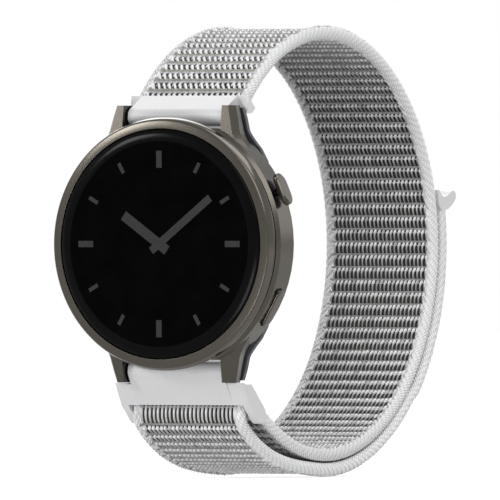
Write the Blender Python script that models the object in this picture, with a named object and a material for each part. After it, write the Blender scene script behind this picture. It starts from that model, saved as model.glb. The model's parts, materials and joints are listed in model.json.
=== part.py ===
"""Woven hook and loop watch strap, closed in a loop on the round smartwatch that it is pinned to.

Metres, +Z up. The origin is the centre of the glass's front face. +X points to the push buttons at
three o'clock, +Y goes back through the watch to the far side of the loop, and +Z points to twelve o'clock.
The band starts at the upper connector, runs over the top, down the back and forward along the bottom,
passes through the slot of the lower connector, folds round its bar and runs back over itself to the tab.
"""

import math

import bmesh
import bpy
from mathutils import Vector

# Clearances
SEAT = 0.0001  # between pieces that sit on each other
PLAY = 0.0003  # between pieces that move past each other
PIN_PLAY = 0.00015  # round the spring bars and the push button stems
FLEX_GAP = 0.0005  # where the woven band bends at a joint
OVERRUN = 0.001  # how far a cutter runs past what it cuts

# Glass and display, from the front to the back
GLASS_RADIUS = 0.0198
GLASS_THICKNESS = 0.0012
GLASS_RIM_WIDTH = 0.0017
GLASS_RIM_DROP = 0.0007
GASKET_WIDTH = 0.0008
GASKET_THICKNESS = 0.0003
DISPLAY_THICKNESS = 0.0009
CARRIER_THICKNESS = 0.0006
CARRIER_OPENING_RADIUS = 0.004
BATTERY_THICKNESS = 0.0036
BATTERY_MARGIN = 0.0032  # between its corners and the case wall
BATTERY_CORNER = 0.0025
BOARD_MARGIN = 0.0028  # between its edge and the case wall
BOARD_THICKNESS = 0.0008
CHIP_SIDE = 0.0090
CHIP_HEIGHT = 0.0005
CHIP_MARGIN = 0.0024  # between the chip and the sensor module, towards twelve o'clock
SENSOR_RADIUS = 0.0048
SENSOR_HEIGHT = 0.0015
COIL_WIDTH = 0.0018
COIL_HEIGHT = 0.0006
MOTOR_RADIUS = 0.0030
MOTOR_HEIGHT = 0.0020
MOTOR_MARGIN = 0.0024  # between the motor and the case wall, towards six o'clock

# Metal case
BEZEL_WIDTH = 0.0019  # flat front ring
BEZEL_PROUD_DROP = 0.0004  # the ring lies this far behind the glass
BEZEL_CHAMFER = 0.0005
BEZEL_CHAMFER_DEPTH = 0.0013
BEZEL_BAND = 0.0006  # straight side below the chamfer
BEZEL_LEDGE = 0.0011  # reaches in under the glass
BEZEL_LEDGE_THICKNESS = 0.0015
GROOVE_DEPTH = 0.0008
CASE_SWELL = 0.0002  # the case side is this much wider than the bezel
CASE_CORNER = 0.0006
CASE_WALL = 0.0040
RECESS_WALL = 0.0019  # case wall left behind the flat between two lugs
LUG_GAP = 0.0200
LUG_TIP_WIDTH = 0.0021
LUG_SHOULDER_WIDTH = 0.0027
LUG_ROOT_WIDTH = 0.0032
LUG_FLARE = 0.0004  # the root widens by this before it curves into the case side
LUG_TIP_REACH = 0.0020  # lug tip past the spring bar's axis
LUG_FACET = 0.0009
LUG_FACET_DEPTH = 0.0013
LUG_BACK_INSET = 0.0009
LUG_TIP_DROP = 0.0014  # the lug's front falls back this far towards its tip
BUTTON_TRAVEL = 0.0004

# Case back
BACK_THICKNESS = 0.0014
BACK_TAPER = 0.0009
BACKING_THICKNESS = 0.0009  # polymer behind each lug
BACKING_MARGIN = 0.0004
WINDOW_RADIUS = 0.0074
WINDOW_SEAT = 0.0007
WINDOW_THICKNESS = 0.0014
WINDOW_CHAMFER = 0.0005
WINDOW_LIP = 0.0016
SCREW_RADIUS = 0.0005
SCREW_LENGTH = 0.0026
SCREW_HEAD_RADIUS = 0.00095
SCREW_HEAD_HEIGHT = 0.0005
SCREW_SOCKET_RADIUS = 0.00045
SCREW_SOCKET_DEPTH = 0.0003

# Push buttons
BUTTON_ANGLES = {"upper": math.radians(24), "lower": math.radians(-30)}
CAP_LENGTH = 0.0060
CAP_WIDTH = 0.0030
CAP_HEIGHT = 0.0010
PILL_LENGTH = 0.0074
PILL_WIDTH = 0.0020
PILL_PROUD = 0.0004
PILL_HEIGHT = 0.0010
STEM_RADIUS = 0.0006
STEM_NECK_RADIUS = 0.0004
SEAL_WIDTH = 0.0005
SEAL_HEIGHT = 0.0007
CLIP_RADIUS = 0.0011
CLIP_THICKNESS = 0.0003
STEM_END = 0.0004  # stem past its clip
SWITCH_SIDE = 0.0022
SWITCH_HEIGHT = 0.0008

# Spring bars
BAR_DEPTH = 0.0074  # behind the glass's front
TUBE_RADIUS = 0.00075
TUBE_BORE_RADIUS = 0.0005
TUBE_END_MARGIN = 0.0004  # between the tube's end and the connector's side
TIP_RADIUS = 0.0004
TIP_REACH = 0.0010  # into the lug
PLUNGER_LENGTH = 0.0056
RELEASE_TRAVEL = 0.0013
SPRING_LENGTH = 0.0055
SPRING_WIRE_RADIUS = 0.00006
SPRING_TURNS = 9
KNOB_RADIUS = 0.0003
KNOB_REACH = 0.0026  # from the bar's axis
KNOB_HEAD_LENGTH = 0.0012
KNOB_HEAD_WIDTH = 0.0010
KNOB_HEAD_HEIGHT = 0.0005
KNOB_INSET = 0.0030  # from the connector's side
KNOB_TILT = math.radians(20)

# Connectors
BARREL_RADIUS = 0.0017
NECK_SIDE_PLAY = 0.0003
ARM_THICKNESS = 0.0014
ARM_PLAY = 0.0004
ENTRY_MARGIN = 0.0007  # upper connector past the band's edge
ENTRY_RUN = 0.0047  # where the band leaves the upper connector, from the spring bar
ENTRY_RISE = 0.0026
ENTRY_OUTER = 0.0017  # connector past the band's middle, on each face
ENTRY_INNER = 0.0016
SLOT_RISE = 0.0056  # where the band enters the fold, from the spring bar
CROSSBAR_RADIUS = 0.0010
CROSSBAR_PLAY = 0.0008
CROSSBAR_RING = 0.0016  # arm material round the crossbar's axis
SLOT_PLAY = 0.0005
SLOT_FACE_HALF = 0.0015
SHOULDER_FRONT = 0.0002  # wide part's front edge ahead of the spring bar
SHOULDER_BACK = 0.0026
TIP_CLEARANCE = 0.0003
WIDE_START = 0.0006  # wide part of the upper connector, from the spring bar
WIDE_DEPTH = 0.0016

# Woven band
LOOP_HALF_DEPTH = 0.0386  # middle of the band's inner layer
LOOP_HALF_HEIGHT = 0.0374
BAND_WIDTH = 0.0225
BAND_THICKNESS = 0.0018
BAND_EDGE = 0.0004
CORD_RADIUS = 0.0011
SEAM = 0.00015
HOOK_THICKNESS = 0.0009
HOOK_MARGIN = 0.0006
LEAD_ANGLE = math.radians(38)  # the outer layer closes on the inner one over this
PEEL_ANGLE = math.radians(-44)  # start of the end that peels off, from the loop's back
HOOK_START_ANGLE = math.radians(-39)
END_ANGLE = math.radians(6.5)
STEP_ANGLE = math.radians(6)
TAB_LENGTH = 0.0046
TAB_LIP = 0.0030

# Counts of flats on round shapes
LARGE_SEGMENTS = 60
SMALL_SEGMENTS = 16
FLANK_SEGMENTS = 5
CORD_SEGMENTS = 8
FOLD_STEPS = 10

# Depths that follow from the stack
GLASS_SEAT = GLASS_THICKNESS + SEAT
LEDGE_DEPTH = GLASS_SEAT + GASKET_THICKNESS + SEAT
BEZEL_BACK = LEDGE_DEPTH + BEZEL_LEDGE_THICKNESS
BEZEL_BORE = GLASS_RADIUS + SEAT
BEZEL_RADIUS = BEZEL_BORE + BEZEL_WIDTH
LEDGE_RADIUS = BEZEL_BORE - BEZEL_LEDGE
DISPLAY_BACK = GLASS_SEAT + DISPLAY_THICKNESS
CARRIER_BACK = DISPLAY_BACK + SEAT + CARRIER_THICKNESS
BATTERY_BACK = CARRIER_BACK + SEAT + BATTERY_THICKNESS
BOARD_BACK = BATTERY_BACK + SEAT + BOARD_THICKNESS
CASE_FRONT = BEZEL_BACK + SEAT
CASE_BACK = BOARD_BACK + SEAT + SENSOR_HEIGHT
CASE_RADIUS = BEZEL_RADIUS + BEZEL_CHAMFER + CASE_SWELL
CASE_BORE = CASE_RADIUS - CASE_WALL
BACK_FRONT = CASE_BACK + SEAT
BACK_BACK = BACK_FRONT + BACK_THICKNESS
BUTTON_DEPTH = (CASE_FRONT + CASE_BACK) / 2

# What the case holds, from its bore
BOARD_RADIUS = CASE_BORE - BOARD_MARGIN
CHIP_OFFSET = SENSOR_RADIUS + CHIP_MARGIN + CHIP_SIDE / 4
MOTOR_OFFSET = CASE_BORE - MOTOR_MARGIN - MOTOR_RADIUS
BATTERY_LENGTH = 2 * (MOTOR_OFFSET - MOTOR_RADIUS - PLAY)
BATTERY_WIDTH = 2 * math.sqrt((CASE_BORE - BATTERY_MARGIN) ** 2 - (BATTERY_LENGTH / 2) ** 2)

# Heights that follow from the case
RECESS_HEIGHT = CASE_BORE + RECESS_WALL
BAR_HEIGHT = RECESS_HEIGHT + PLAY + BARREL_RADIUS
LUG_TIP = BAR_HEIGHT + LUG_TIP_REACH

# Strap sizes that follow from the others
LUG_INNER = LUG_GAP / 2
NECK_HALF = LUG_INNER - NECK_SIDE_PLAY
BAND_HALF = BAND_WIDTH / 2
ARM_INNER = BAND_HALF + ARM_PLAY
WIDE_HALF = ARM_INNER + ARM_THICKNESS
CORD_OFFSET = BAND_HALF - CORD_RADIUS
STRIP_HALF = BAND_HALF - 2 * CORD_RADIUS - SEAM
FOLD_RADIUS = CROSSBAR_RADIUS + CROSSBAR_PLAY + BAND_THICKNESS / 2
LAYER_PITCH = 2 * CORD_RADIUS + PLAY
HOOK_PITCH = BAND_THICKNESS + HOOK_THICKNESS + SEAT + PLAY
ENTRY_HEIGHT = BAR_HEIGHT + ENTRY_RISE
SLOT_HEIGHT = BAR_HEIGHT + SLOT_RISE
ENTRY_ANGLE = math.pi - math.asin(ENTRY_HEIGHT / LOOP_HALF_HEIGHT)
SLOT_ANGLE = math.asin(SLOT_HEIGHT / LOOP_HALF_HEIGHT) - math.pi
LOOP_CENTRE = BAR_DEPTH + ENTRY_RUN - LOOP_HALF_DEPTH * math.cos(ENTRY_ANGLE)

X_AXIS = Vector((1, 0, 0))


def clear_scene():
    for obj in list(bpy.data.objects):
        bpy.data.objects.remove(obj, do_unlink=True)


def material(name, colour, roughness, metallic=0.0):
    made = bpy.data.materials.new(name)
    made.use_nodes = True
    shader = made.node_tree.nodes["Principled BSDF"]
    shader.inputs["Base Color"].default_value = (*colour, 1.0)
    shader.inputs["Roughness"].default_value = roughness
    shader.inputs["Metallic"].default_value = metallic
    made.diffuse_color = (*colour, 1.0)
    return made


def pivot(name, location):
    """An empty on a joint's axis, which carries the pieces that the joint moves."""
    empty = bpy.data.objects.new(name, None)
    empty.empty_display_size = CASE_WALL
    empty.location = location
    bpy.context.scene.collection.objects.link(empty)
    return empty


def emit(name, bm, look, carrier=None):
    """Makes the object of a bmesh built in world space, with its origin on its carrier."""
    bmesh.ops.recalc_face_normals(bm, faces=bm.faces)
    mesh = bpy.data.meshes.new(name)
    if carrier is not None:
        bmesh.ops.translate(bm, vec=-carrier.location, verts=bm.verts)
    bm.to_mesh(mesh)
    bm.free()
    mesh.shade_smooth()
    mesh.set_sharp_from_angle(angle=math.radians(35))
    mesh.materials.append(look)
    obj = bpy.data.objects.new(name, mesh)
    bpy.context.scene.collection.objects.link(obj)
    obj.parent = carrier
    return obj


def combine(obj, bm, operation):
    """A Boolean of obj with the shapes in bm, which become a hidden helper."""
    name = f"{obj.name}_{operation.lower()}_{len(obj.modifiers) + 1}"
    helper = emit(name, bm, obj.active_material, obj.parent)
    helper.hide_render = True
    helper.display_type = "WIRE"
    boolean = obj.modifiers.new(operation.title(), "BOOLEAN")
    boolean.operation = operation
    boolean.object = helper
    boolean.solver = "EXACT"


def loft(bm, rings, closed=False):
    """Joins rings of points into one skin, capped at both ends unless the rings themselves close."""
    made = [[bm.verts.new(point) for point in ring] for ring in rings]
    pairs = list(zip(made, made[1:]))
    if closed:
        pairs.append((made[-1], made[0]))
    for first, second in pairs:
        for i in range(len(first)):
            j = (i + 1) % len(first)
            bm.faces.new((first[i], first[j], second[j], second[i]))
    if not closed:
        bm.faces.new(list(reversed(made[0])))
        bm.faces.new(made[-1])


def circle(radius, count):
    """Points (a, b) round a circle."""
    turns = [2 * math.pi * i / count for i in range(count)]
    return [(radius * math.cos(turn), radius * math.sin(turn)) for turn in turns]


def stadium(length, width, per_end=6):
    """Points (a, b) round a slot shape that is long in a."""
    radius = width / 2
    reach = length / 2 - radius
    points = []
    for side, start in ((1, -math.pi / 2), (-1, math.pi / 2)):
        for i in range(per_end + 1):
            turn = start + math.pi * i / per_end
            points.append((side * reach + radius * math.cos(turn), radius * math.sin(turn)))
    return points


def hull(points):
    """The convex outline round points (y, z)."""
    ordered = sorted(set(points))

    def half(run):
        chain = []
        for p in run:
            while len(chain) > 1 and turn_of(chain[-2], chain[-1], p) <= 0:
                chain.pop()
            chain.append(p)
        return chain[:-1]

    return half(ordered) + half(ordered[::-1])


def turn_of(a, b, c):
    return (b[0] - a[0]) * (c[1] - a[1]) - (b[1] - a[1]) * (c[0] - a[0])


def about(centre, radius, count=2 * SMALL_SEGMENTS):
    """Points (y, z) round a circle in the side view."""
    return [(centre[0] + a, centre[1] + b) for a, b in circle(radius, count)]


def add_prism(bm, outline, low, high):
    """An outline (y, z) of the side view, extruded along X."""
    loft(bm, [[Vector((x, y, z)) for y, z in outline] for x in (low, high)])


def add_front_prism(bm, outline, low, high):
    """An outline (x, z) of the front view, extruded along Y."""
    loft(bm, [[Vector((x, y, z)) for x, z in outline] for y in (low, high)])


def add_box(bm, low, high):
    corners = [(low[1], low[2]), (high[1], low[2]), (high[1], high[2]), (low[1], high[2])]
    add_prism(bm, corners, low[0], high[0])


def add_post(bm, start, along, across, outline, reaches):
    """A straight post: rings of outline(a, b) at each reach along its axis, each with its own scale."""
    third = along.cross(across)
    rings = []
    for reach, grow in reaches:
        rings.append([start + along * reach + across * (a * grow) + third * (b * grow) for a, b in outline])
    loft(bm, rings)


def add_disc(bm, profile, centre=(0, 0), count=LARGE_SEGMENTS):
    """A solid turned about a line along Y: (radius, depth) from its front to its back."""
    rings = []
    for radius, depth in profile:
        rings.append([Vector((centre[0] + a, depth, centre[1] + b)) for a, b in circle(radius, count)])
    loft(bm, rings)


def add_ring(bm, profile, count=LARGE_SEGMENTS):
    """A ring turned about the Y axis from a closed profile of (radius, depth)."""
    rings = []
    for a, b in circle(1, count):
        rings.append([Vector((radius * a, depth, radius * b)) for radius, depth in profile])
    loft(bm, rings, closed=True)


def disc(name, profile, look, **where):
    bm = bmesh.new()
    add_disc(bm, profile, **where)
    return emit(name, bm, look)


def ring(name, profile, look):
    bm = bmesh.new()
    add_ring(bm, profile)
    return emit(name, bm, look)


def plate_profile(radius, front, thickness):
    return [(radius, front), (radius, front + thickness)]


def ring_profile(inner, outer, front, back):
    return [(inner, front), (outer, front), (outer, back), (inner, back)]


# Watch: glass, display and what the case holds


def make_glass(look):
    flat = GLASS_RADIUS - GLASS_RIM_WIDTH
    steps = 5
    profile = []
    for i in range(steps + 1):
        turn = math.pi / 2 * i / steps
        radius = flat + GLASS_RIM_WIDTH * math.sin(turn)
        profile.append((radius, GLASS_RIM_DROP * (1 - math.cos(turn))))
    profile.append((GLASS_RADIUS, GLASS_THICKNESS))
    disc("glass", profile, look)


def make_display(looks):
    outer = BEZEL_BORE - SEAT
    gasket = ring_profile(outer - GASKET_WIDTH, outer, GLASS_SEAT, GLASS_SEAT + GASKET_THICKNESS)
    ring("glass_gasket", gasket, looks["rubber"])
    radius = LEDGE_RADIUS - PLAY
    disc("display_panel", plate_profile(radius, GLASS_SEAT, DISPLAY_THICKNESS), looks["display"])
    carrier = ring_profile(CARRIER_OPENING_RADIUS, CASE_BORE - PLAY, DISPLAY_BACK + SEAT, CARRIER_BACK)
    ring("display_carrier", carrier, looks["polymer"])


def rounded_block(width, length, corner):
    """Outline (x, z) of a block with cut corners."""
    points = []
    for sx, sz in ((1, 1), (-1, 1), (-1, -1), (1, -1)):
        pair = [(width / 2, length / 2 - corner), (width / 2 - corner, length / 2)]
        if sx * sz < 0:
            pair.reverse()
        points += [(sx * x, sz * z) for x, z in pair]
    return points


def make_insides(looks):
    bm = bmesh.new()
    outline = rounded_block(BATTERY_WIDTH, BATTERY_LENGTH, BATTERY_CORNER)
    add_front_prism(bm, outline, CARRIER_BACK + SEAT, BATTERY_BACK)
    emit("battery", bm, looks["battery"])

    board_front = BATTERY_BACK + SEAT
    board = disc("main_board", plate_profile(BOARD_RADIUS, board_front, BOARD_THICKNESS), looks["board"])
    bm = bmesh.new()
    chip_low = (-CHIP_SIDE / 2, board_front + BOARD_THICKNESS / 2, CHIP_OFFSET - CHIP_SIDE / 4)
    chip_high = (CHIP_SIDE / 2, BOARD_BACK + CHIP_HEIGHT, CHIP_OFFSET + CHIP_SIDE / 4)
    add_box(bm, chip_low, chip_high)
    combine(board, bm, "UNION")

    front = BOARD_BACK + SEAT
    sensor_reach = SENSOR_HEIGHT - SEAT
    sensor = plate_profile(SENSOR_RADIUS, front, sensor_reach)
    disc("sensor_module", sensor, looks["polymer"], count=LARGE_SEGMENTS // 2)
    coil_front = CASE_BACK - COIL_HEIGHT
    coil_inner = SENSOR_RADIUS + PLAY
    coil = ring_profile(coil_inner, coil_inner + COIL_WIDTH, coil_front, CASE_BACK)
    ring("charging_coil", coil, looks["copper"])
    motor_front = BATTERY_BACK - MOTOR_HEIGHT
    motor = plate_profile(MOTOR_RADIUS, motor_front, MOTOR_HEIGHT)
    disc("vibration_motor", motor, looks["steel"], centre=(0, -MOTOR_OFFSET), count=LARGE_SEGMENTS // 2)


# Watch: metal case


def make_bezel(look):
    side = BEZEL_RADIUS + BEZEL_CHAMFER
    chamfer_end = BEZEL_PROUD_DROP + BEZEL_CHAMFER_DEPTH
    band_end = chamfer_end + BEZEL_BAND
    groove = side - GROOVE_DEPTH
    profile = [
        (BEZEL_BORE, BEZEL_PROUD_DROP),
        (BEZEL_RADIUS, BEZEL_PROUD_DROP),
        (side, chamfer_end),
        (side, band_end),
        (groove, band_end),
        (groove, BEZEL_BACK),
        (LEDGE_RADIUS, BEZEL_BACK),
        (LEDGE_RADIUS, LEDGE_DEPTH),
        (BEZEL_BORE, LEDGE_DEPTH),
    ]
    ring("bezel", profile, look)


def lug_outline(margin=0.0, shortening=0.0):
    """(x, z) of the upper right lug, from its root at the bore side out to its tip and back."""
    tip = LUG_INNER + LUG_TIP_WIDTH + margin
    shoulder = LUG_INNER + LUG_SHOULDER_WIDTH + margin
    lug_root = LUG_INNER + LUG_ROOT_WIDTH + margin
    root = CASE_RADIUS - CASE_CORNER
    inner_root = CASE_RADIUS - CASE_WALL / 2
    start = LUG_INNER - PLAY
    reach = LUG_TIP - RECESS_HEIGHT
    height_shares = (0.45, -0.1)  # of the reach, up from the recess
    flank_start = (lug_root, RECESS_HEIGHT + height_shares[1] * reach)
    root_angles = (math.radians(41), math.radians(43), math.radians(51))
    return [
        (start, math.sqrt(inner_root**2 - start**2)),
        (start, LUG_TIP - shortening),
        (tip, LUG_TIP - shortening),
        (shoulder, RECESS_HEIGHT + height_shares[0] * reach),
        flank_start,
        *lug_flank(flank_start),
        (root * math.cos(root_angles[0]), root * math.sin(root_angles[0])),
        (inner_root * math.cos(root_angles[1]), inner_root * math.sin(root_angles[1])),
        (inner_root * math.cos(root_angles[2]), inner_root * math.sin(root_angles[2])),
    ]


def lug_flank(start):
    """Hollow curve from the lug's side to the case side, which it meets at a tangent."""
    meeting = math.radians(43)
    x = start[0] + LUG_FLARE
    corner = (x, (CASE_RADIUS - x * math.cos(meeting)) / math.sin(meeting))
    end = (CASE_RADIUS * math.cos(meeting), CASE_RADIUS * math.sin(meeting))
    points = []
    for i in range(1, FLANK_SEGMENTS):
        share = i / FLANK_SEGMENTS
        rest = 1 - share
        points.append(tuple(
            rest * rest * a + 2 * rest * share * b + share * share * c
            for a, b, c in zip(start, corner, end)
        ))
    return points


def add_lug(bm, sx, sz):
    """One lug: its front slopes back from the root to the tip, and its outer edge is cut to a facet."""
    outline = lug_outline()
    facet_points = range(2, 4 + FLANK_SEGMENTS)
    rings = [[], [], []]
    root = min(z for x, z in outline)
    for i, (x, z) in enumerate(outline):
        share = (z - root) / (LUG_TIP - root)
        front = CASE_FRONT + SEAT + LUG_TIP_DROP * share
        inset = LUG_FACET if i in facet_points else 0
        back_inset = LUG_BACK_INSET if i in facet_points else 0
        rings[0].append(Vector((sx * (x - inset), front, sz * z)))
        rings[1].append(Vector((sx * x, front + LUG_FACET_DEPTH, sz * z)))
        rings[2].append(Vector((sx * (x - back_inset), CASE_BACK, sz * z)))
    loft(bm, rings)


def add_recess(bm, sz):
    """The flat between two lugs, where a connector's barrel turns."""
    heights = sorted((sz * RECESS_HEIGHT, sz * (LUG_TIP + OVERRUN)))
    low = (-LUG_INNER, CASE_FRONT - OVERRUN, heights[0])
    high = (LUG_INNER, BACK_BACK + OVERRUN, heights[1])
    add_box(bm, low, high)


def button_frame(angle):
    """Outward and sideways directions of a push button, and the point on the Y axis that it points from."""
    outward = Vector((math.cos(angle), 0, math.sin(angle)))
    sideways = Vector((-math.sin(angle), 0, math.cos(angle)))
    return Vector((0, BUTTON_DEPTH, 0)), outward, sideways


def screw_places():
    circle_radius = CASE_RADIUS - CASE_WALL / 2 - SCREW_RADIUS
    places = []
    for i in range(4):
        angle = math.pi / 4 + math.pi / 2 * i
        places.append((circle_radius * math.cos(angle), circle_radius * math.sin(angle)))
    return places


def make_case(look):
    bore = CASE_BORE
    profile = [
        (bore, CASE_FRONT),
        (CASE_RADIUS - CASE_CORNER, CASE_FRONT),
        (CASE_RADIUS, CASE_FRONT + CASE_CORNER),
        (CASE_RADIUS, CASE_BACK - CASE_CORNER),
        (CASE_RADIUS - CASE_CORNER, CASE_BACK),
        (bore, CASE_BACK),
    ]
    case = ring("case_body", profile, look)
    for sx in (1, -1):
        for sz in (1, -1):
            bm = bmesh.new()
            add_lug(bm, sx, sz)
            combine(case, bm, "UNION")

    bm = bmesh.new()
    for sz in (1, -1):
        add_recess(bm, sz)
    combine(case, bm, "DIFFERENCE")

    bm = bmesh.new()
    hole_end = LUG_INNER + TIP_REACH + PIN_PLAY
    for sz in (1, -1):
        hole = about((BAR_DEPTH, sz * BAR_HEIGHT), TIP_RADIUS + PIN_PLAY, SMALL_SEGMENTS)
        add_prism(bm, hole, -hole_end, hole_end)
    combine(case, bm, "DIFFERENCE")

    bm = bmesh.new()
    for x, z in screw_places():
        depth = SCREW_LENGTH - (BACK_THICKNESS - SCREW_HEAD_HEIGHT) + PLAY
        hole = plate_profile(SCREW_RADIUS + PIN_PLAY, CASE_BACK - depth, depth + OVERRUN)
        add_disc(bm, hole, centre=(x, z), count=SMALL_SEGMENTS)
    combine(case, bm, "DIFFERENCE")

    for name, angle in BUTTON_ANGLES.items():
        centre, outward, sideways = button_frame(angle)
        bm = bmesh.new()
        stem = circle(STEM_RADIUS + PIN_PLAY, SMALL_SEGMENTS)
        add_post(bm, centre, outward, sideways, stem, [(bore - OVERRUN, 1), (CASE_RADIUS + OVERRUN, 1)])
        combine(case, bm, "DIFFERENCE")
        bm = bmesh.new()
        pocket = circle(STEM_RADIUS + SEAL_WIDTH + 2 * PIN_PLAY, SMALL_SEGMENTS)
        add_post(bm, centre, outward, sideways, pocket, [(bore - OVERRUN, 1), (seal_top() + SEAT, 1)])
        combine(case, bm, "DIFFERENCE")
        if name == "lower":
            bm = bmesh.new()
            slot = stadium(PILL_LENGTH + 2 * PIN_PLAY, PILL_WIDTH + 2 * PIN_PLAY)
            floor = CASE_RADIUS + PILL_PROUD - PILL_HEIGHT - BUTTON_TRAVEL - PLAY
            add_post(bm, centre, outward, sideways, slot, [(floor, 1), (CASE_RADIUS + OVERRUN, 1)])
            combine(case, bm, "DIFFERENCE")


# Watch: push buttons


def seal_top():
    return CASE_BORE + SEAT + SEAL_HEIGHT


def stem_rings(top):
    """Reaches of a stem from its inner end, past the clip's neck, out to the cap or pill."""
    clip_top = CASE_BORE - SEAT - PIN_PLAY
    clip_bottom = clip_top - CLIP_THICKNESS - 2 * SEAT
    narrow = STEM_NECK_RADIUS / STEM_RADIUS
    return [
        (clip_bottom - STEM_END, 1),
        (clip_bottom, 1),
        (clip_bottom, narrow),
        (clip_top, narrow),
        (clip_top, 1),
        (top, 1),
    ]


def make_button(name, angle, looks):
    centre, outward, sideways = button_frame(angle)
    carrier = pivot(f"{name}_button_axis", centre + outward * CASE_RADIUS)
    stem = circle(STEM_RADIUS, SMALL_SEGMENTS)
    bm = bmesh.new()
    if name == "upper":
        under = CASE_RADIUS + BUTTON_TRAVEL + PLAY
        bevel = CAP_HEIGHT / 4
        top = under + CAP_HEIGHT
        narrow = 1 - 2 * bevel / CAP_WIDTH
        outline = stadium(CAP_LENGTH, CAP_WIDTH)
        levels = [(under, 1), (top - bevel, 1), (top, narrow)]
        add_post(bm, centre, outward, sideways, outline, levels)
    else:
        top = CASE_RADIUS + PILL_PROUD
        under = top - PILL_HEIGHT
        bevel = PILL_PROUD / 2
        narrow = 1 - 2 * bevel / PILL_WIDTH
        outline = stadium(PILL_LENGTH, PILL_WIDTH)
        levels = [(under, 1), (top - bevel, 1), (top, narrow)]
        add_post(bm, centre, outward, sideways, outline, levels)
    button = emit(f"{name}_button", bm, looks["metal"], carrier)
    bm = bmesh.new()
    add_post(bm, centre, outward, sideways, stem, stem_rings(under + bevel))
    combine(button, bm, "UNION")

    seal = (STEM_RADIUS, STEM_RADIUS + SEAL_WIDTH, CASE_BORE + SEAT, SEAL_HEIGHT)
    add_washer(f"{name}_button_seal", angle, seal, looks["rubber"])
    clip_bottom = CASE_BORE - SEAT - PIN_PLAY - SEAT - CLIP_THICKNESS
    clip = (STEM_NECK_RADIUS, CLIP_RADIUS, clip_bottom, CLIP_THICKNESS)
    add_washer(f"{name}_button_clip", angle, clip, looks["steel"], carrier)

    bm = bmesh.new()
    half = SWITCH_SIDE / 2
    square = [(-half, -half), (half, -half), (half, half), (-half, half)]
    switch_top = clip_bottom - SEAT - STEM_END - BUTTON_TRAVEL - SEAT
    add_post(bm, centre, outward, sideways, square, [(switch_top - SWITCH_HEIGHT, 1), (switch_top, 1)])
    emit(f"{name}_button_switch", bm, looks["polymer"])


def add_washer(name, angle, size, look, carrier=None):
    """A ring round a button's stem, clear of the stem. Its size is (inner, outer, bottom, height)."""
    inner, outer, bottom, height = size
    centre, outward, sideways = button_frame(angle)
    third = outward.cross(sideways)
    profile = ring_profile(inner + PIN_PLAY, outer, bottom, bottom + height)
    rings = []
    for a, b in circle(1, SMALL_SEGMENTS):
        around = sideways * a + third * b
        rings.append([centre + outward * reach + around * radius for radius, reach in profile])
    bm = bmesh.new()
    loft(bm, rings, closed=True)
    emit(name, bm, look, carrier)


# Watch: case back


def make_back(looks):
    radius = CASE_RADIUS - CASE_CORNER
    seat_depth = BACK_FRONT + WINDOW_SEAT
    profile = [
        (WINDOW_RADIUS - WINDOW_LIP, BACK_FRONT),
        (radius, BACK_FRONT),
        (radius - BACK_TAPER, BACK_BACK),
        (WINDOW_RADIUS + SEAT, BACK_BACK),
        (WINDOW_RADIUS + SEAT, seat_depth),
        (WINDOW_RADIUS - WINDOW_LIP, seat_depth),
    ]
    back = ring("back_cover", profile, looks["polymer"])
    backing_back = BACK_FRONT + BACKING_THICKNESS
    for sx in (1, -1):
        for sz in (1, -1):
            bm = bmesh.new()
            lug = lug_outline(BACKING_MARGIN - LUG_BACK_INSET, BACKING_MARGIN)
            outline = [(sx * x, sz * z) for x, z in lug]
            add_front_prism(bm, outline, BACK_FRONT, backing_back)
            combine(back, bm, "UNION")
    bm = bmesh.new()
    for sz in (1, -1):
        add_recess(bm, sz)
    combine(back, bm, "DIFFERENCE")

    head_seat = BACK_BACK - SCREW_HEAD_HEIGHT - 2 * SEAT
    bm = bmesh.new()
    for x, z in screw_places():
        hole = plate_profile(SCREW_RADIUS + PIN_PLAY, BACK_FRONT - OVERRUN, BACK_THICKNESS + 2 * OVERRUN)
        add_disc(bm, hole, centre=(x, z), count=SMALL_SEGMENTS)
    combine(back, bm, "DIFFERENCE")
    bm = bmesh.new()
    for x, z in screw_places():
        pocket = plate_profile(SCREW_HEAD_RADIUS + PIN_PLAY, head_seat, BACK_BACK - head_seat + OVERRUN)
        add_disc(bm, pocket, centre=(x, z), count=SMALL_SEGMENTS)
    combine(back, bm, "DIFFERENCE")
    for i, (x, z) in enumerate(screw_places()):
        make_screw(f"back_screw_{i + 1}", (x, z), head_seat + SEAT, looks["steel"])

    window_front = seat_depth + SEAT
    window_back = window_front + WINDOW_THICKNESS
    profile = [
        (WINDOW_RADIUS, window_front),
        (WINDOW_RADIUS, window_back - WINDOW_CHAMFER),
        (WINDOW_RADIUS - WINDOW_CHAMFER, window_back),
    ]
    disc("sensor_window", profile, looks["glass"])


def make_screw(name, place, head_front, look):
    head_back = head_front + SCREW_HEAD_HEIGHT
    profile = [
        (SCREW_RADIUS, head_front - SCREW_LENGTH),
        (SCREW_RADIUS, head_front),
        (SCREW_HEAD_RADIUS, head_front),
        (SCREW_HEAD_RADIUS, head_back),
    ]
    screw = disc(name, profile, look, centre=place, count=SMALL_SEGMENTS)
    bm = bmesh.new()
    socket_front = head_back - SCREW_SOCKET_DEPTH
    socket = plate_profile(SCREW_SOCKET_RADIUS, socket_front, SCREW_SOCKET_DEPTH + OVERRUN)
    add_disc(bm, socket, centre=place, count=6)
    combine(screw, bm, "DIFFERENCE")


# Spring bars


def knob_direction(sz):
    return Vector((0, math.cos(KNOB_TILT), -sz * math.sin(KNOB_TILT)))


def add_knob_slot(bm, sz, inner, reach, half):
    """The window that a release knob slides in, from the bar's axis to the connector's inner face."""
    outward = knob_direction(sz)
    start = Vector((0, BAR_DEPTH, sz * BAR_HEIGHT))
    low = knob_place() - RELEASE_TRAVEL - half
    high = knob_place() + half
    outline = [(low, -half), (high, -half), (high, half), (low, half)]
    add_post(bm, start, outward, X_AXIS, outline, [(inner, 1), (reach, 1)])


def knob_place():
    return NECK_HALF - KNOB_INSET


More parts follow.
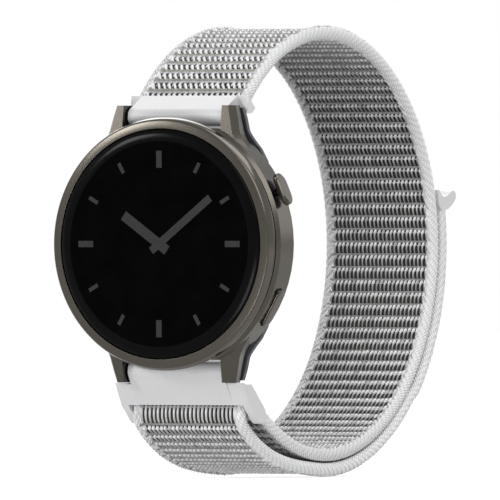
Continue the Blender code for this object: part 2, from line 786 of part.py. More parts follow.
def make_spring_bar(side, sz, carrier, look, spring_look):
    axis = (BAR_DEPTH, sz * BAR_HEIGHT)
    tube_end = NECK_HALF - TUBE_END_MARGIN
    bm = bmesh.new()
    add_prism(bm, about(axis, TUBE_RADIUS, SMALL_SEGMENTS), -tube_end, tube_end)
    tube = emit(f"{side}_bar_tube", bm, look, carrier)
    bm = bmesh.new()
    tip = about(axis, TIP_RADIUS, SMALL_SEGMENTS)
    add_prism(bm, tip, -LUG_INNER - TIP_REACH, -tube_end + TUBE_END_MARGIN)
    combine(tube, bm, "UNION")
    plunger_end = LUG_INNER + TIP_REACH
    plunger_start = plunger_end - PLUNGER_LENGTH
    spring_start = plunger_start - PLAY - SPRING_LENGTH
    bm = bmesh.new()
    add_prism(bm, about(axis, TUBE_BORE_RADIUS, SMALL_SEGMENTS), spring_start - PLAY, tube_end + OVERRUN)
    combine(tube, bm, "DIFFERENCE")
    bm = bmesh.new()
    add_knob_slot(bm, sz, 0, TUBE_RADIUS + OVERRUN, KNOB_RADIUS + PIN_PLAY)
    combine(tube, bm, "DIFFERENCE")

    slide = pivot(f"{side}_bar_slide", Vector((plunger_end, *axis)))
    bm = bmesh.new()
    add_prism(bm, tip, plunger_start, plunger_end)
    plunger = emit(f"{side}_bar_plunger", bm, look, slide)
    start = Vector((knob_place(), *axis))
    bm = bmesh.new()
    knob = circle(KNOB_RADIUS, SMALL_SEGMENTS // 2)
    add_post(bm, start, knob_direction(sz), X_AXIS, knob, [(0, 1), (KNOB_REACH - KNOB_HEAD_HEIGHT / 2, 1)])
    combine(plunger, bm, "UNION")
    bm = bmesh.new()
    a, b = KNOB_HEAD_LENGTH / 2, KNOB_HEAD_WIDTH / 2
    head = [(-a, -b), (a, -b), (a, b), (-a, b)]
    head_levels = [(KNOB_REACH - KNOB_HEAD_HEIGHT, 1), (KNOB_REACH, 1)]
    add_post(bm, start, knob_direction(sz), X_AXIS, head, head_levels)
    combine(plunger, bm, "UNION")

    bm = bmesh.new()
    add_spring(bm, axis, spring_start)
    emit(f"{side}_bar_spring", bm, spring_look, carrier)


def add_spring(bm, axis, start):
    """A helix of wire along X."""
    coil_radius = TUBE_BORE_RADIUS - SEAT - SPRING_WIRE_RADIUS
    per_turn = 8
    count = SPRING_TURNS * per_turn
    pitch = (SPRING_LENGTH - 2 * SPRING_WIRE_RADIUS) / count
    rings = []
    for i in range(count + 1):
        turn = 2 * math.pi * i / per_turn
        out = Vector((0, math.cos(turn), math.sin(turn)))
        middle = Vector((start + SPRING_WIRE_RADIUS + pitch * i, *axis)) + out * coil_radius
        rings.append([middle + X_AXIS * a + out * b for a, b in circle(SPRING_WIRE_RADIUS, 4)])
    loft(bm, rings)


# The band's path, in the side view


def on_loop(angle, offset=0.0):
    """A point (y, z) at an angle from the loop's back, offset outwards from the inner layer's middle."""
    out = outward_at(angle)
    y = LOOP_CENTRE + LOOP_HALF_DEPTH * math.cos(angle) + out[0] * offset
    z = LOOP_HALF_HEIGHT * math.sin(angle) + out[1] * offset
    return (y, z)


def outward_at(angle):
    y = math.cos(angle) / LOOP_HALF_DEPTH
    z = math.sin(angle) / LOOP_HALF_HEIGHT
    size = math.hypot(y, z)
    return (y / size, z / size)


def ease(share):
    share = min(1, max(0, share))
    return share * share * (3 - 2 * share)


def outer_offset(angle):
    """Past the fold the outer layer closes on the inner one, then makes room for the hooks."""
    closing = ease((angle - SLOT_ANGLE) / LEAD_ANGLE)
    hooks = ease((angle - PEEL_ANGLE) / (HOOK_START_ANGLE - PEEL_ANGLE))
    return 2 * FOLD_RADIUS + (LAYER_PITCH - 2 * FOLD_RADIUS) * closing + (HOOK_PITCH - LAYER_PITCH) * hooks


def spread(start, end, step=STEP_ANGLE):
    count = max(2, round(abs(end - start) / step))
    return [start + (end - start) * i / count for i in range(count + 1)]


def trim(gap):
    """The angle that a length takes along the loop."""
    return gap / LOOP_HALF_DEPTH


def inner_path():
    gap = trim(FLEX_GAP)
    return [on_loop(angle) for angle in spread(ENTRY_ANGLE - gap, SLOT_ANGLE + gap / 2)]


def outer_path(angles, shift=0.0):
    return [on_loop(angle, outer_offset(angle) + shift) for angle in angles]


def end_angles():
    """The peeling end's stops, of which all but the first and the last carry the hooks."""
    return [PEEL_ANGLE + trim(FLEX_GAP) / 2] + spread(HOOK_START_ANGLE, END_ANGLE)


def crossbar_axis():
    return on_loop(SLOT_ANGLE, FOLD_RADIUS)


def fold_path():
    """A half circle round the crossbar, from the inner layer to the outer one."""
    axis = crossbar_axis()
    start = math.atan2(*reversed([-part for part in outward_at(SLOT_ANGLE)]))
    margin = FLEX_GAP / 2 / FOLD_RADIUS
    points = []
    for i in range(FOLD_STEPS + 1):
        turn = start + margin + (math.pi - 2 * margin) * i / FOLD_STEPS
        points.append((axis[0] + FOLD_RADIUS * math.cos(turn), axis[1] + FOLD_RADIUS * math.sin(turn)))
    return points


def frames(path):
    """Each point of a path with the unit normal of the side view, from its neighbours."""
    made = []
    for i, point in enumerate(path):
        before = path[max(0, i - 1)]
        after = path[min(len(path) - 1, i + 1)]
        along = Vector((0, after[0] - before[0], after[1] - before[1])).normalized()
        made.append((Vector((0, *point)), X_AXIS.cross(along)))
    return made


def add_swept(bm, path, section, x=0.0):
    """A section (across, outward) carried along a path of the side view."""
    rings = []
    for point, normal in frames(path):
        rings.append([point + X_AXIS * (x + a) + normal * b for a, b in section])
    loft(bm, rings)


def strip_section(half, thickness, edge):
    side = thickness / 2
    return [
        (-half, -side + edge),
        (-half + edge, -side),
        (half - edge, -side),
        (half, -side + edge),
        (half, side - edge),
        (half - edge, side),
        (-half + edge, side),
        (-half, side - edge),
    ]


def make_run(name, path, looks, carrier=None):
    """One run of the band: the woven strip and the braided cord along each edge."""
    bm = bmesh.new()
    add_swept(bm, path, strip_section(STRIP_HALF, BAND_THICKNESS, BAND_EDGE))
    emit(f"{name}_weave", bm, looks["weave"], carrier)
    for side, x in (("right", CORD_OFFSET), ("left", -CORD_OFFSET)):
        bm = bmesh.new()
        add_swept(bm, path, circle(CORD_RADIUS, CORD_SEGMENTS), x)
        emit(f"{name}_{side}_cord", bm, looks["cord"], carrier)


# Strap


def make_upper_connector(look, carrier):
    barrel = about((BAR_DEPTH, BAR_HEIGHT), BARREL_RADIUS)
    front = on_loop(ENTRY_ANGLE, ENTRY_OUTER)
    inner = on_loop(ENTRY_ANGLE, -ENTRY_INNER)
    wide_front = BACK_FRONT + BACKING_THICKNESS + TIP_CLEARANCE
    base = BAR_HEIGHT + WIDE_START
    wide = hull([(wide_front, base), (wide_front + WIDE_DEPTH, base), front, inner])
    bm = bmesh.new()
    add_prism(bm, hull(barrel + [front, inner]), -NECK_HALF, NECK_HALF)
    connector = emit("upper_connector", bm, look, carrier)
    bm = bmesh.new()
    add_prism(bm, wide, -BAND_HALF - ENTRY_MARGIN, BAND_HALF + ENTRY_MARGIN)
    combine(connector, bm, "UNION")
    cut_barrel(connector, 1)


def cut_barrel(connector, sz):
    bm = bmesh.new()
    bore = about((BAR_DEPTH, sz * BAR_HEIGHT), TUBE_RADIUS + PIN_PLAY, SMALL_SEGMENTS)
    add_prism(bm, bore, -WIDE_HALF, WIDE_HALF)
    combine(connector, bm, "DIFFERENCE")
    bm = bmesh.new()
    half = max(KNOB_HEAD_LENGTH, KNOB_HEAD_WIDTH) / 2 + PIN_PLAY
    add_knob_slot(bm, sz, 0, KNOB_REACH + OVERRUN, half)
    combine(connector, bm, "DIFFERENCE")


def make_lower_connector(look, carrier):
    axis = crossbar_axis()
    out = outward_at(SLOT_ANGLE)
    along = (-out[1], out[0])
    slot_reach = FOLD_RADIUS + CORD_RADIUS + SLOT_PLAY
    middle = (axis[0] - along[0] * slot_reach, axis[1] - along[1] * slot_reach)
    faces = [
        (middle[0] + out[0] * side, middle[1] + out[1] * side)
        for side in (SLOT_FACE_HALF, -SLOT_FACE_HALF)
    ]
    top = -(LUG_TIP + TIP_CLEARANCE)
    shoulder = [(BAR_DEPTH - SHOULDER_FRONT, top), (BAR_DEPTH + SHOULDER_BACK, top)]
    barrel = about((BAR_DEPTH, -BAR_HEIGHT), BARREL_RADIUS)
    bm = bmesh.new()
    add_prism(bm, hull(barrel + faces), -NECK_HALF, NECK_HALF)
    connector = emit("lower_connector", bm, look, carrier)
    bm = bmesh.new()
    add_prism(bm, hull(shoulder + faces), -WIDE_HALF, WIDE_HALF)
    combine(connector, bm, "UNION")
    arm = hull(shoulder + faces + about(axis, CROSSBAR_RING))
    for low, high in ((ARM_INNER, WIDE_HALF), (-WIDE_HALF, -ARM_INNER)):
        bm = bmesh.new()
        add_prism(bm, arm, low, high)
        combine(connector, bm, "UNION")
    bm = bmesh.new()
    crossbar = about(axis, CROSSBAR_RADIUS, SMALL_SEGMENTS)
    add_prism(bm, crossbar, -ARM_INNER - ARM_THICKNESS / 2, ARM_INNER + ARM_THICKNESS / 2)
    combine(connector, bm, "UNION")
    cut_barrel(connector, -1)


def make_hook_patch(look, carrier):
    drop = BAND_THICKNESS / 2 + SEAT + HOOK_THICKNESS / 2
    path = outer_path(end_angles()[1:-1], -drop)
    bm = bmesh.new()
    section = strip_section(STRIP_HALF - HOOK_MARGIN, HOOK_THICKNESS, BAND_EDGE / 2)
    add_swept(bm, path, section)
    emit("hook_patch", bm, look, carrier)


def make_tab(look, carrier):
    """The moulded end: it caps the band's end and has a rounded lip to pull."""
    out = outward_at(END_ANGLE)
    along = (-out[1], out[0])
    base = on_loop(END_ANGLE, outer_offset(END_ANGLE))
    inner = HOOK_PITCH - CORD_RADIUS - PLAY
    outline_shares = (
        (0.0, -0.85),
        (0.0, 0.36),
        (0.12, 0.66),
        (0.30, 0.92),
        (0.50, 1.0),
        (0.68, 0.92),
        (0.82, 0.66),
        (0.93, 0.22),
        (1.0, -0.3),
        (0.98, -0.85),
    )
    points = []
    for s, n in outline_shares:
        reach = SEAT + PLAY + s * TAB_LENGTH
        rise = n * TAB_LIP if n > 0 else n * inner
        place = [base[k] + along[k] * reach + out[k] * rise for k in (0, 1)]
        points.append(tuple(place))
    bm = bmesh.new()
    add_prism(bm, points, -BAND_HALF, BAND_HALF)
    emit("end_tab", bm, look, carrier)


def make_strap(looks):
    upper = pivot("upper_connector_axis", Vector((0, BAR_DEPTH, BAR_HEIGHT)))
    make_upper_connector(looks["plastic"], upper)
    make_spring_bar("upper", 1, upper, looks["steel"], looks["spring"])
    lower = pivot("lower_connector_axis", Vector((0, BAR_DEPTH, -BAR_HEIGHT)))
    make_lower_connector(looks["plastic"], lower)
    make_spring_bar("lower", -1, lower, looks["steel"], looks["spring"])

    make_run("inner_run", inner_path(), looks)
    make_run("fold", fold_path(), looks)
    gap = trim(FLEX_GAP)
    flap = pivot("flap_axis", Vector((0, *crossbar_axis())))
    make_run("outer_run", outer_path(spread(SLOT_ANGLE + gap / 2, PEEL_ANGLE - gap / 2)), looks, flap)
    hinge = on_loop(PEEL_ANGLE, outer_offset(PEEL_ANGLE) + CORD_RADIUS)
    peel = pivot("peel_axis", Vector((0, *hinge)))
    make_run("end_run", outer_path(end_angles()), looks, peel)
    make_hook_patch(looks["hooks"], peel)
    make_tab(looks["plastic"], peel)


def make_looks():
    return {
        "metal": material("gunmetal", (0.14, 0.128, 0.112), 0.34, 1.0),
        "glass": material("dark_glass", (0.006, 0.006, 0.007), 0.05),
        "display": material("display", (0.004, 0.004, 0.004), 0.2),
        "polymer": material("dark_polymer", (0.022, 0.023, 0.030), 0.5),
        "rubber": material("black_rubber", (0.015, 0.015, 0.015), 0.8),
        "battery": material("battery_foil", (0.32, 0.33, 0.34), 0.4, 0.6),
        "board": material("circuit_board", (0.02, 0.10, 0.05), 0.5),
        "copper": material("copper", (0.72, 0.35, 0.18), 0.35, 1.0),
        "steel": material("steel", (0.56, 0.56, 0.55), 0.3, 1.0),
        "spring": material("spring_steel", (0.50, 0.50, 0.50), 0.3, 1.0),
        "plastic": material("pale_plastic", (0.66, 0.66, 0.67), 0.45),
        "weave": material("woven_nylon", (0.40, 0.40, 0.39), 0.85),
        "cord": material("braided_edge", (0.72, 0.72, 0.74), 0.8),
        "hooks": material("hook_tape", (0.62, 0.62, 0.63), 0.7),
    }


def main():
    clear_scene()
    looks = make_looks()
    make_glass(looks["glass"])
    make_display(looks)
    make_insides(looks)
    make_bezel(looks["metal"])
    make_case(looks["metal"])
    for name, angle in BUTTON_ANGLES.items():
        make_button(name, angle, looks)
    make_back(looks)
    make_strap(looks)


main()
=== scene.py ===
import json
import math

import bmesh
import bpy
import numpy as np
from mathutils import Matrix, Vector

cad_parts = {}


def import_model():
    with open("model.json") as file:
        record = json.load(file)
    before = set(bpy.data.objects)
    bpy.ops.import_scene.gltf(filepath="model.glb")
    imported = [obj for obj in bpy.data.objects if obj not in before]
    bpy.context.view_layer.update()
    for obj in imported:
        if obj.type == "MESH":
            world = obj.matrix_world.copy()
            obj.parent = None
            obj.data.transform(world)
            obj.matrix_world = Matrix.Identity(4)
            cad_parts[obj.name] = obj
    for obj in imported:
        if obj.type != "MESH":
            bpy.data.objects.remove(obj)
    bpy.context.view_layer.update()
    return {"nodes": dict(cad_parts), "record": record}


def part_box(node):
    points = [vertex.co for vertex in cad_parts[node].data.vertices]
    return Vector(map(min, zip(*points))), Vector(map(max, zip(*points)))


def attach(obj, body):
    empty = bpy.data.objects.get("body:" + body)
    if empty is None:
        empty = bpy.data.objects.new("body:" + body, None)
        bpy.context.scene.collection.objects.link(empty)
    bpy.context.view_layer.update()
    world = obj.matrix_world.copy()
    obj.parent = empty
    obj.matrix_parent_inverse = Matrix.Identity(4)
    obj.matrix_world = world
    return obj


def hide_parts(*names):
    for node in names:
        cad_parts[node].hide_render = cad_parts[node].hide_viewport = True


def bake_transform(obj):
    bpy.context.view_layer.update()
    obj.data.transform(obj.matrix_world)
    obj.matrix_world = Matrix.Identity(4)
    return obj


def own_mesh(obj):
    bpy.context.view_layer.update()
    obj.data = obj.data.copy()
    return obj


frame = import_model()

bodies = frame["record"]["behaviour"]["bodies"]
body_of = {name: body for body, names in bodies.items() for name in names}
slot_of = {part["node"]: part["material_slot"] for part in frame["record"]["subparts"]}
rng = np.random.default_rng(7)

# Lengths are in metres, in the CAD's frame. Band coordinates are x across the band, s along it from the
# upper connector, and rise off its middle. A table or value of shares has a name that says so.
MM = 0.001
SQUARE = ((-1, -1), (1, -1), (1, 1), (-1, 1))

# Band, as in the CAD
BAR_DEPTH = 0.0074  # spring bars, behind the glass
BAR_HEIGHT = 0.0224  # and above or below the dial's middle
ENTRY_RUN = 0.0047  # the band's entry into the upper connector, behind the upper bar
ENTRY_RISE = 0.0026  # and above it
SLOT_RISE = 0.0056  # the slot, below the lower bar
LOOP_HALF_DEPTH = 0.0386
LOOP_HALF_HEIGHT = 0.0374
BAND_WIDTH = 0.0225
BAND_THICKNESS = 0.0018
CORD_RADIUS = 0.0011
HOOK_THICKNESS = 0.0009
SEAT = 0.0001
PLAY = 0.0003
CROSSBAR_RADIUS = 0.0010
CROSSBAR_PLAY = 0.0008
LEAD_ANGLE = math.radians(38)
PEEL_ANGLE = math.radians(-44)
HOOK_START_ANGLE = math.radians(-39)
TAB_ANGLE = math.radians(6.5)

BAND_HALF = BAND_WIDTH / 2
FOLD_RADIUS = CROSSBAR_RADIUS + CROSSBAR_PLAY + BAND_THICKNESS / 2
LAYER_PITCH = 2 * CORD_RADIUS + PLAY
HOOK_PITCH = BAND_THICKNESS + HOOK_THICKNESS + SEAT + PLAY
ENTRY_ANGLE = math.pi - math.asin((BAR_HEIGHT + ENTRY_RISE) / LOOP_HALF_HEIGHT)
SLOT_ANGLE = math.asin((BAR_HEIGHT + SLOT_RISE) / LOOP_HALF_HEIGHT) - math.pi
LOOP_CENTRE = BAR_DEPTH + ENTRY_RUN - LOOP_HALF_DEPTH * math.cos(ENTRY_ANGLE)

# The band's path
START_OVERLAP = 0.02  # radians that the band's start reaches into the upper connector
END_ANGLE = math.radians(9.6)  # the band's end, inside the tab
INNER_POINTS = 1200
FOLD_POINTS = 160
OUTER_POINTS = 400
END_POINTS = 300

# Weave
GROUND_HALF = 0.00045  # half the thickness of the cloth under the yarns, painted near black as the shade between them
GROUND_STEP = 0.0004
CLOTH_HALF = 0.0096
YARN_FOOT = 0.00035  # where the yarns start, from the band's middle
YARN_SINK = 0.00012  # over a cord they start this far inside it
FLATTER_SHARE = 0.45  # by how much yarns lie flatter at the top of a cord
YARN_POINTS = 5  # points across a yarn
THREAD_POINTS = 4
INNER_REACH = 0.0098  # how far the weave reaches to each side on the inside of the loop
OUTER_REACH = 0.0099  # and to the left on its outside, where it covers most of the cord
HIDDEN_REACH = 0.0093
OUTER_FULLNESS_AND_LIGHT = 1.3  # yarn width of the fine face on the loop's outside, against the inside; its square also paints the ribs there lighter, as painted light
SKIN_PITCH = 0.00081
SKIN_ROW = 0.0023
LONG_ROW = 0.0038  # first row after the crossbar
LONG_ROW_END = 0.0004  # it ends this far before the fold does
PILE_PITCH = 0.00111
PILE_ROW = 0.0027

# Yarn colours
WHITE = np.array([0.92, 0.92, 0.93])
RIB = np.array([0.27, 0.27, 0.257])
WEFT = np.array([0.26, 0.25, 0.255])
OLIVE_SHADE = np.array([0.27, 0.275, 0.245])
# Olive grey, painted shade for the band of shadow under the coarse face's white stitches
THREAD = np.array([0.50, 0.49, 0.51])
STITCH = np.array([0.72, 0.72, 0.73])

# One cell of the fine face: shares of the row along it, of the column pitch across it, and of white,
# then the yarn's heights and half widths at the same places
# The share of white is a painted highlight, where the yarn rises into its slanted stitch
SKIN_SHARES = np.array([
    (-0.06, 0.34, 0.70),
    (0.03, 0.27, 1.00),
    (0.12, 0.18, 1.00),
    (0.21, 0.06, 1.00),
    (0.30, -0.04, 0.68),
    (0.41, -0.08, 0.34),
    (0.56, -0.06, 0.08),
    (0.71, -0.01, 0.0),
    (0.85, 0.07, 0.0),
])
SKIN_HEIGHTS = np.array([0.25, 0.56, 0.65, 0.60, 0.47, 0.41, 0.385, 0.345, 0.12]) * MM
SKIN_HALVES = np.array([0.13, 0.19, 0.205, 0.19, 0.15, 0.135, 0.13, 0.135, 0.14]) * MM
BRIGHT_SHARES = (1.0, 0.85, 0.5)  # how bright a yarn's painted highlight is
BRIGHT_YARN_SHARES = (0.72, 0.18, 0.10)  # of the yarns that are that white

# The long row after the crossbar: straighter and wider yarns with a painted highlight in their middle
LONG_ROW_LIMIT = 1.3 * SKIN_ROW  # a longer row is this one
LONG_SWAY_SHARE = 0.3
LONG_WIDTH = 1.15
LONG_HALF_SHARES = np.array([0.4, 0.4, 0.4, 0.55, 0.9, 1.0, 1.0, 1.0, 1.0])
LONG_HIGHLIGHT_SHARES = np.array([0.0, 0.1, 0.2, 0.35, 0.70, 0.9, 0.5, 0.2, 0.0])

# One cell of the coarse face: shares of the row along it and of the column pitch across it, then as above
PILE_WHITE_SHARES = np.array([
    (0.22, 0.36), (0.32, 0.30), (0.44, 0.16), (0.56, 0.0), (0.68, -0.16), (0.78, -0.28), (0.88, -0.34),
])
PILE_WHITE_HEIGHTS = np.array([0.0, 0.48, 0.60, 0.64, 0.60, 0.48, 0.0]) * MM
PILE_WHITE_HALVES = np.array([0.14, 0.21, 0.25, 0.26, 0.25, 0.21, 0.12]) * MM
PILE_LOOP_SHARES = np.array([
    (0.56, -0.60), (0.66, -0.52), (0.76, -0.42), (0.86, -0.30), (0.96, -0.14), (1.02, 0.0),
])
PILE_LOOP_HEIGHTS = np.array([0.0, 0.38, 0.46, 0.48, 0.42, 0.15]) * MM
PILE_LOOP_HALVES = np.full(6, 0.00011)
PILE_OLIVE_SHARES = np.array([(-0.06, -0.08), (0.08, 0.01), (0.26, 0.02), (0.40, -0.10)])
PILE_OLIVE_HEIGHTS = np.array([0.2, 0.45, 0.45, 0.15]) * MM
PILE_OLIVE_HALVES = np.array([0.22, 0.30, 0.30, 0.18]) * MM
OLIVE_SHIFT_SHARES = (-0.26, 0.24)  # two olive grey yarns in each cell, off its middle, painted in as the white stitches' shadow

# Threads across the band: points in each column, share of the row, half width, height, wave and colour
SKIN_WEFT = (3, 0.91, 0.00023, 0.00034, 0.00005, WEFT)
SKIN_THREAD = (2, 0.20, 0.00005, 0.00050, 0.00004, THREAD)
PILE_THREAD = (3, 0.99, 0.00012, 0.00040, 0.00008, THREAD)

# Stitches along the weave's edges
STITCH_PITCH = 0.00115
STITCH_HALF = 0.00007
STITCH_SHARES = np.array([0.0, 0.22, 0.5, 0.78, 1.0])
STITCH_STEPS = np.array([-0.10, 0.05, 0.25, 0.45, 0.60]) * MM
STITCH_HEIGHTS = np.array([0.15, 0.36, 0.46, 0.46, 0.40]) * MM

# How much yarns vary: strays are lengths, spreads the lowest and highest factor
SKIN_STRAY_ACROSS = 0.00002
SKIN_STRAY_ALONG = 0.00003
SKIN_SWAY_SPREAD = (0.75, 1.25)
SKIN_HEIGHT_SPREAD = (0.9, 1.05)
SKIN_WIDTH_SPREAD = (0.88, 1.12)
RIB_TONE_SPREAD = (0.75, 1.2)
WEFT_STRAY = 0.00001
WEFT_WAVE_SPREAD = (-1, 1)
WEFT_TONE_SPREAD = (0.8, 1.2)
PILE_STRAY = 0.00004
PILE_SWAY_SPREAD = (0.8, 1.15)
PILE_WIDTH_SPREAD = (0.85, 1.1)
PILE_WHITE_SPREAD = (0.86, 1.0)
PILE_LOOP_SPREAD = (0.6, 1.6)
PILE_OLIVE_SPREAD = (0.8, 1.15)
STITCH_STRAY_ACROSS = 0.00003
STITCH_STRAY_ALONG = 0.00006
STITCH_TONE_SPREAD = (0.55, 1.2)

# Edge cords
BRAID_CENTRE = 0.0103
BRAID_HALF_WIDTH = 0.00095
BRAID_HALF_HEIGHT = 0.00108
BRAID_AROUND = 54
BRAID_STEP = 0.0001
BRAID_STRANDS = 10
BRAID_LEAD = 0.0072
BRAID_RELIEF = 0.00017  # depth of the gaps between strands, under the cord's plain surface
BRAID_SWELL = 1.5  # height of the strands' tops over the gaps, in reliefs
BRAID_SHARPNESS = 0.7
BRAID_CROSS_SHARE = 0.55  # how much of a pick's height comes and goes where strands cross
BRAID_GAP_SHADE = 0.55  # painted shade between the strands
BRAID_TOP_HIGHLIGHT = 0.40  # and the painted highlight that their tops add to it
BRAID_TINT = np.array([1.0, 1.0, 1.01])

# Hooks
HOOK_PITCH_ACROSS = 0.00105
HOOK_HALF = 0.0080
HOOK_BASE = 0.00125  # hook tape's face, from the band's middle
HOOK_TAPE_BACK = 0.00085
HOOK_TAPE_MARGIN = 0.0003
HOOK_TAPE_STEP = 0.0005
HOOK_ROW_MARGIN = 0.0006
HOOK_HEIGHT = 0.0005
HOOK_REACH = 0.0004
HOOK_SECTION = (0.00009, 0.00007, 0.00003)  # half sides across, along and off the band
HOOK_BEND_SHARES = (  # of the reach and of the height
    (0, -0.3), (0, 0.5), (0.2, 0.92), (0.6, 1.0), (0.9, 0.75), (0.95, 0.55),
)

# Hard pieces
TURN_STEPS = 240
CREASE_DEGREES = 28  # faces that meet at more than this keep a crease
MERGE_DISTANCE = 0.000002
FLAT_DEGREES = 1  # and those that meet at less than this become one
GLASS_RADIUS = 0.0202
GLASS_FLAT_RADIUS = 0.0181
GLASS_RIM_DROP = 0.0007
GLASS_THICKNESS = 0.0012
GLASS_RIM_STEPS = 18
RIM_OVERLAP = 0.0002  # the rim's finish starts this far inside the flat
BEZEL_BORE = 0.0203
BEZEL_CHAMFER_RADIUS = 0.0219
BEZEL_RADIUS = 0.0223
BEZEL_CHAMFER_DEPTH = 0.0018
BEZEL_BAND_DEPTH = 0.0023
BEZEL_GROOVE_RADIUS = 0.0215
BEZEL_BACK = 0.0032
BEZEL_LEDGE_RADIUS = 0.0188
BEZEL_LEDGE_DEPTH = 0.0017
BEZEL_FRONT = (  # radius and depth, from the glass outwards
    (BEZEL_BORE, 0.0004),
    (0.0210, 0.00045),
    (0.0217, 0.0006),
    (BEZEL_CHAMFER_RADIUS, 0.0008),
    (0.0221, 0.0012),
    (BEZEL_RADIUS, BEZEL_CHAMFER_DEPTH),
)
BEZEL_ROUNDING = 0.00008
ROUNDINGS = {  # edge widths on the copies of CAD nodes
    "case_body": 0.00018,
    "upper_button": 0.00015,
    "lower_button": 0.00012,
    "upper_connector": 0.00030,
    "lower_connector": 0.00030,
}

# Dial
DIAL_LIFT = 0.000015  # middle of the marks in front of the glass
DIAL_HALF_THICKNESS = 0.00001
MARK_COUNT = 12
MARK_END = 0.0164  # outer end of the marks, from the dial's middle
LONG_MARK = (0.0015, 0.00055)  # half length and half width, at every third mark
SHORT_MARK = (0.0010, 0.00035)
HANDS = (  # degrees from twelve o'clock, inner end, outer end, half width, level above the glass
    (305, -0.0020, 0.0088, 0.0009, 1),
    (52, -0.0020, 0.0132, 0.0007, 3),
)

# Lips on the connectors, with half sides in x, y and z
LIP_HEIGHT = 0.02083  # above or below the dial's middle
LIP_HALF = (0.0094, 0.0005, 0.00037)
SHIM_PLACE = (0.0114, -0.0246)  # beside the lower lip, under the lugs' tips
SHIM_HALF = (0.0012, 0.0010, 0.00014)

# Springs in the bars
SPRING_WIRE_RADIUS = 0.00007
SPRING_PITCH = 0.0004
SPRING_STEPS = 24  # in each turn
SPRING_SIDES = 8

# Moulded tab
TAB_SIZE = (0.0049, 0.0046)  # along the band and off it
TAB_SHARES = (
    (0.30, -0.34), (0.30, 0.26), (0.33, 0.40), (0.39, 0.56), (0.46, 0.72), (0.55, 0.87), (0.65, 0.97),
    (0.75, 1.0), (0.86, 0.96), (0.93, 0.86), (0.94, 0.72), (0.90, 0.58), (0.84, 0.42), (0.79, 0.26),
    (0.79, 0.08), (0.84, -0.06), (0.93, -0.16), (1.03, -0.22), (1.09, -0.30), (1.05, -0.34),
)
TAB_CUT_SHARE = 0.25
TAB_CUTS = 3
TAB_CREASE_DEGREES = 50
TAB_ROUNDING = 0.0006

# Camera
CAMERA_AZIMUTH = math.radians(30)
CAMERA_DISTANCE = 3.8
CAMERA_CLIP = 100
FRAME_PIXELS = 500
PIXELS_PER_METRE = 5687  # of the object, in a frame of that many pixels
AIM_ACROSS = 0.01579  # the frame's middle, to the camera's right of the dial's middle
AIM_DEPTH = 0.00045  # behind it
AIM_HEIGHT = -0.001055  # and above it
SENSOR = 36.0

# Light and floor
AMBIENT = 0.16  # the world's strength on the object; the background shows at 1
LAMP_AIM = (0, 0.04, 0)
LAMPS = (  # name, place, side and watts
    ("right", (0.54, -0.37, 0.55), 0.5, 3.4),
    ("left", (-0.47, -0.56, 0.27), 0.16, 1.7),
    ("front", (0.15, -0.72, -0.26), 0.3, 3.0),
    ("top", (0.25, 0.24, 0.71), 0.5, 2.2),
    ("behind right", (0.45, 0.75, 0.25), 0.4, 0.6),
    ("behind left", (-0.45, 0.70, 0.52), 0.5, 3.0),
)
FLOOR_HEIGHT = -0.0414  # just under the closed band
FLOOR_HALF = 6.0
FLOOR_NEAR = 0.12
FLOOR_FAR = 0.45
FLOOR_CLEAR_SHARE = 0.82  # light that passes near the object; far off all of it does
FLOOR_GREY = 0.42

# Colours of the hard pieces, and matt stuffs as dark, light, roughness, grain per metre and bump
GUNMETAL = (0.066, 0.060, 0.051)
POLISHED = (0.088, 0.081, 0.072)
MOULDED_WHITE = (0.69, 0.69, 0.70)
STEEL = (0.55, 0.55, 0.54)
COPPER_DARK = (0.45, 0.20, 0.10)
COPPER_LIGHT = (0.72, 0.38, 0.20)
BLACK = (0.0, 0.0, 0.0)
NEAR_BLACK = (0.001, 0.001, 0.001)
# Cloth under the yarns, painted near black as the shade between the yarns
GAP_SHADE_CLOTH = ((0.008, 0.008, 0.008), (0.03, 0.03, 0.028), 0.95)
HOOK_NYLON = ((0.66, 0.66, 0.67), (0.78, 0.78, 0.79), 0.4)
DIAL_GREY = ((0.026, 0.026, 0.026), (0.031, 0.031, 0.031), 0.5, 900, 0.02)
MATT_FINISHES = {
    "dark_polymer": ((0.028, 0.029, 0.036), (0.045, 0.047, 0.056), 0.5, 2500),
    "black_rubber": ((0.012, 0.012, 0.012), (0.02, 0.02, 0.02), 0.8),
    "battery_foil": ((0.30, 0.31, 0.32), (0.38, 0.39, 0.40), 0.35, 400, 0.4),
    "circuit_board": ((0.015, 0.07, 0.035), (0.03, 0.12, 0.06), 0.45, 900),
}


# Materials


def shader_of(made):
    return made.node_tree.nodes["Principled BSDF"]


def new_material(name, colour, roughness, metallic=0.0):
    made = bpy.data.materials.new(name)
    made.use_nodes = True
    shader = shader_of(made)
    shader.inputs["Base Color"].default_value = (*colour, 1.0)
    shader.inputs["Roughness"].default_value = roughness
    shader.inputs["Metallic"].default_value = metallic
    return made


def node(made, kind, **values):
    added = made.node_tree.nodes.new(kind)
    for key, value in values.items():
        setattr(added, key, value)
    return added


def link(made, source, target):
    made.node_tree.links.new(source, target)


def noise(made, scale, detail=4.0, stretch=(1, 1, 1)):
    place = node(made, "ShaderNodeTexCoord")
    mapping = node(made, "ShaderNodeMapping")
    mapping.inputs["Scale"].default_value = stretch
    texture = node(made, "ShaderNodeTexNoise")
    texture.inputs["Scale"].default_value = scale
    texture.inputs["Detail"].default_value = detail
    link(made, place.outputs["Object"], mapping.inputs["Vector"])
    link(made, mapping.outputs["Vector"], texture.inputs["Vector"])
    return texture


def tint(made, texture, dark, light, low=0.3, high=0.7):
    """Base colour that runs from dark to light as the texture goes from low to high."""
    ramp = node(made, "ShaderNodeValToRGB")
    ramp.color_ramp.elements[0].position = low
    ramp.color_ramp.elements[0].color = (*dark, 1.0)
    ramp.color_ramp.elements[1].position = high
    ramp.color_ramp.elements[1].color = (*light, 1.0)
    link(made, texture.outputs["Fac"], ramp.inputs["Fac"])
    link(made, ramp.outputs["Color"], shader_of(made).inputs["Base Color"])


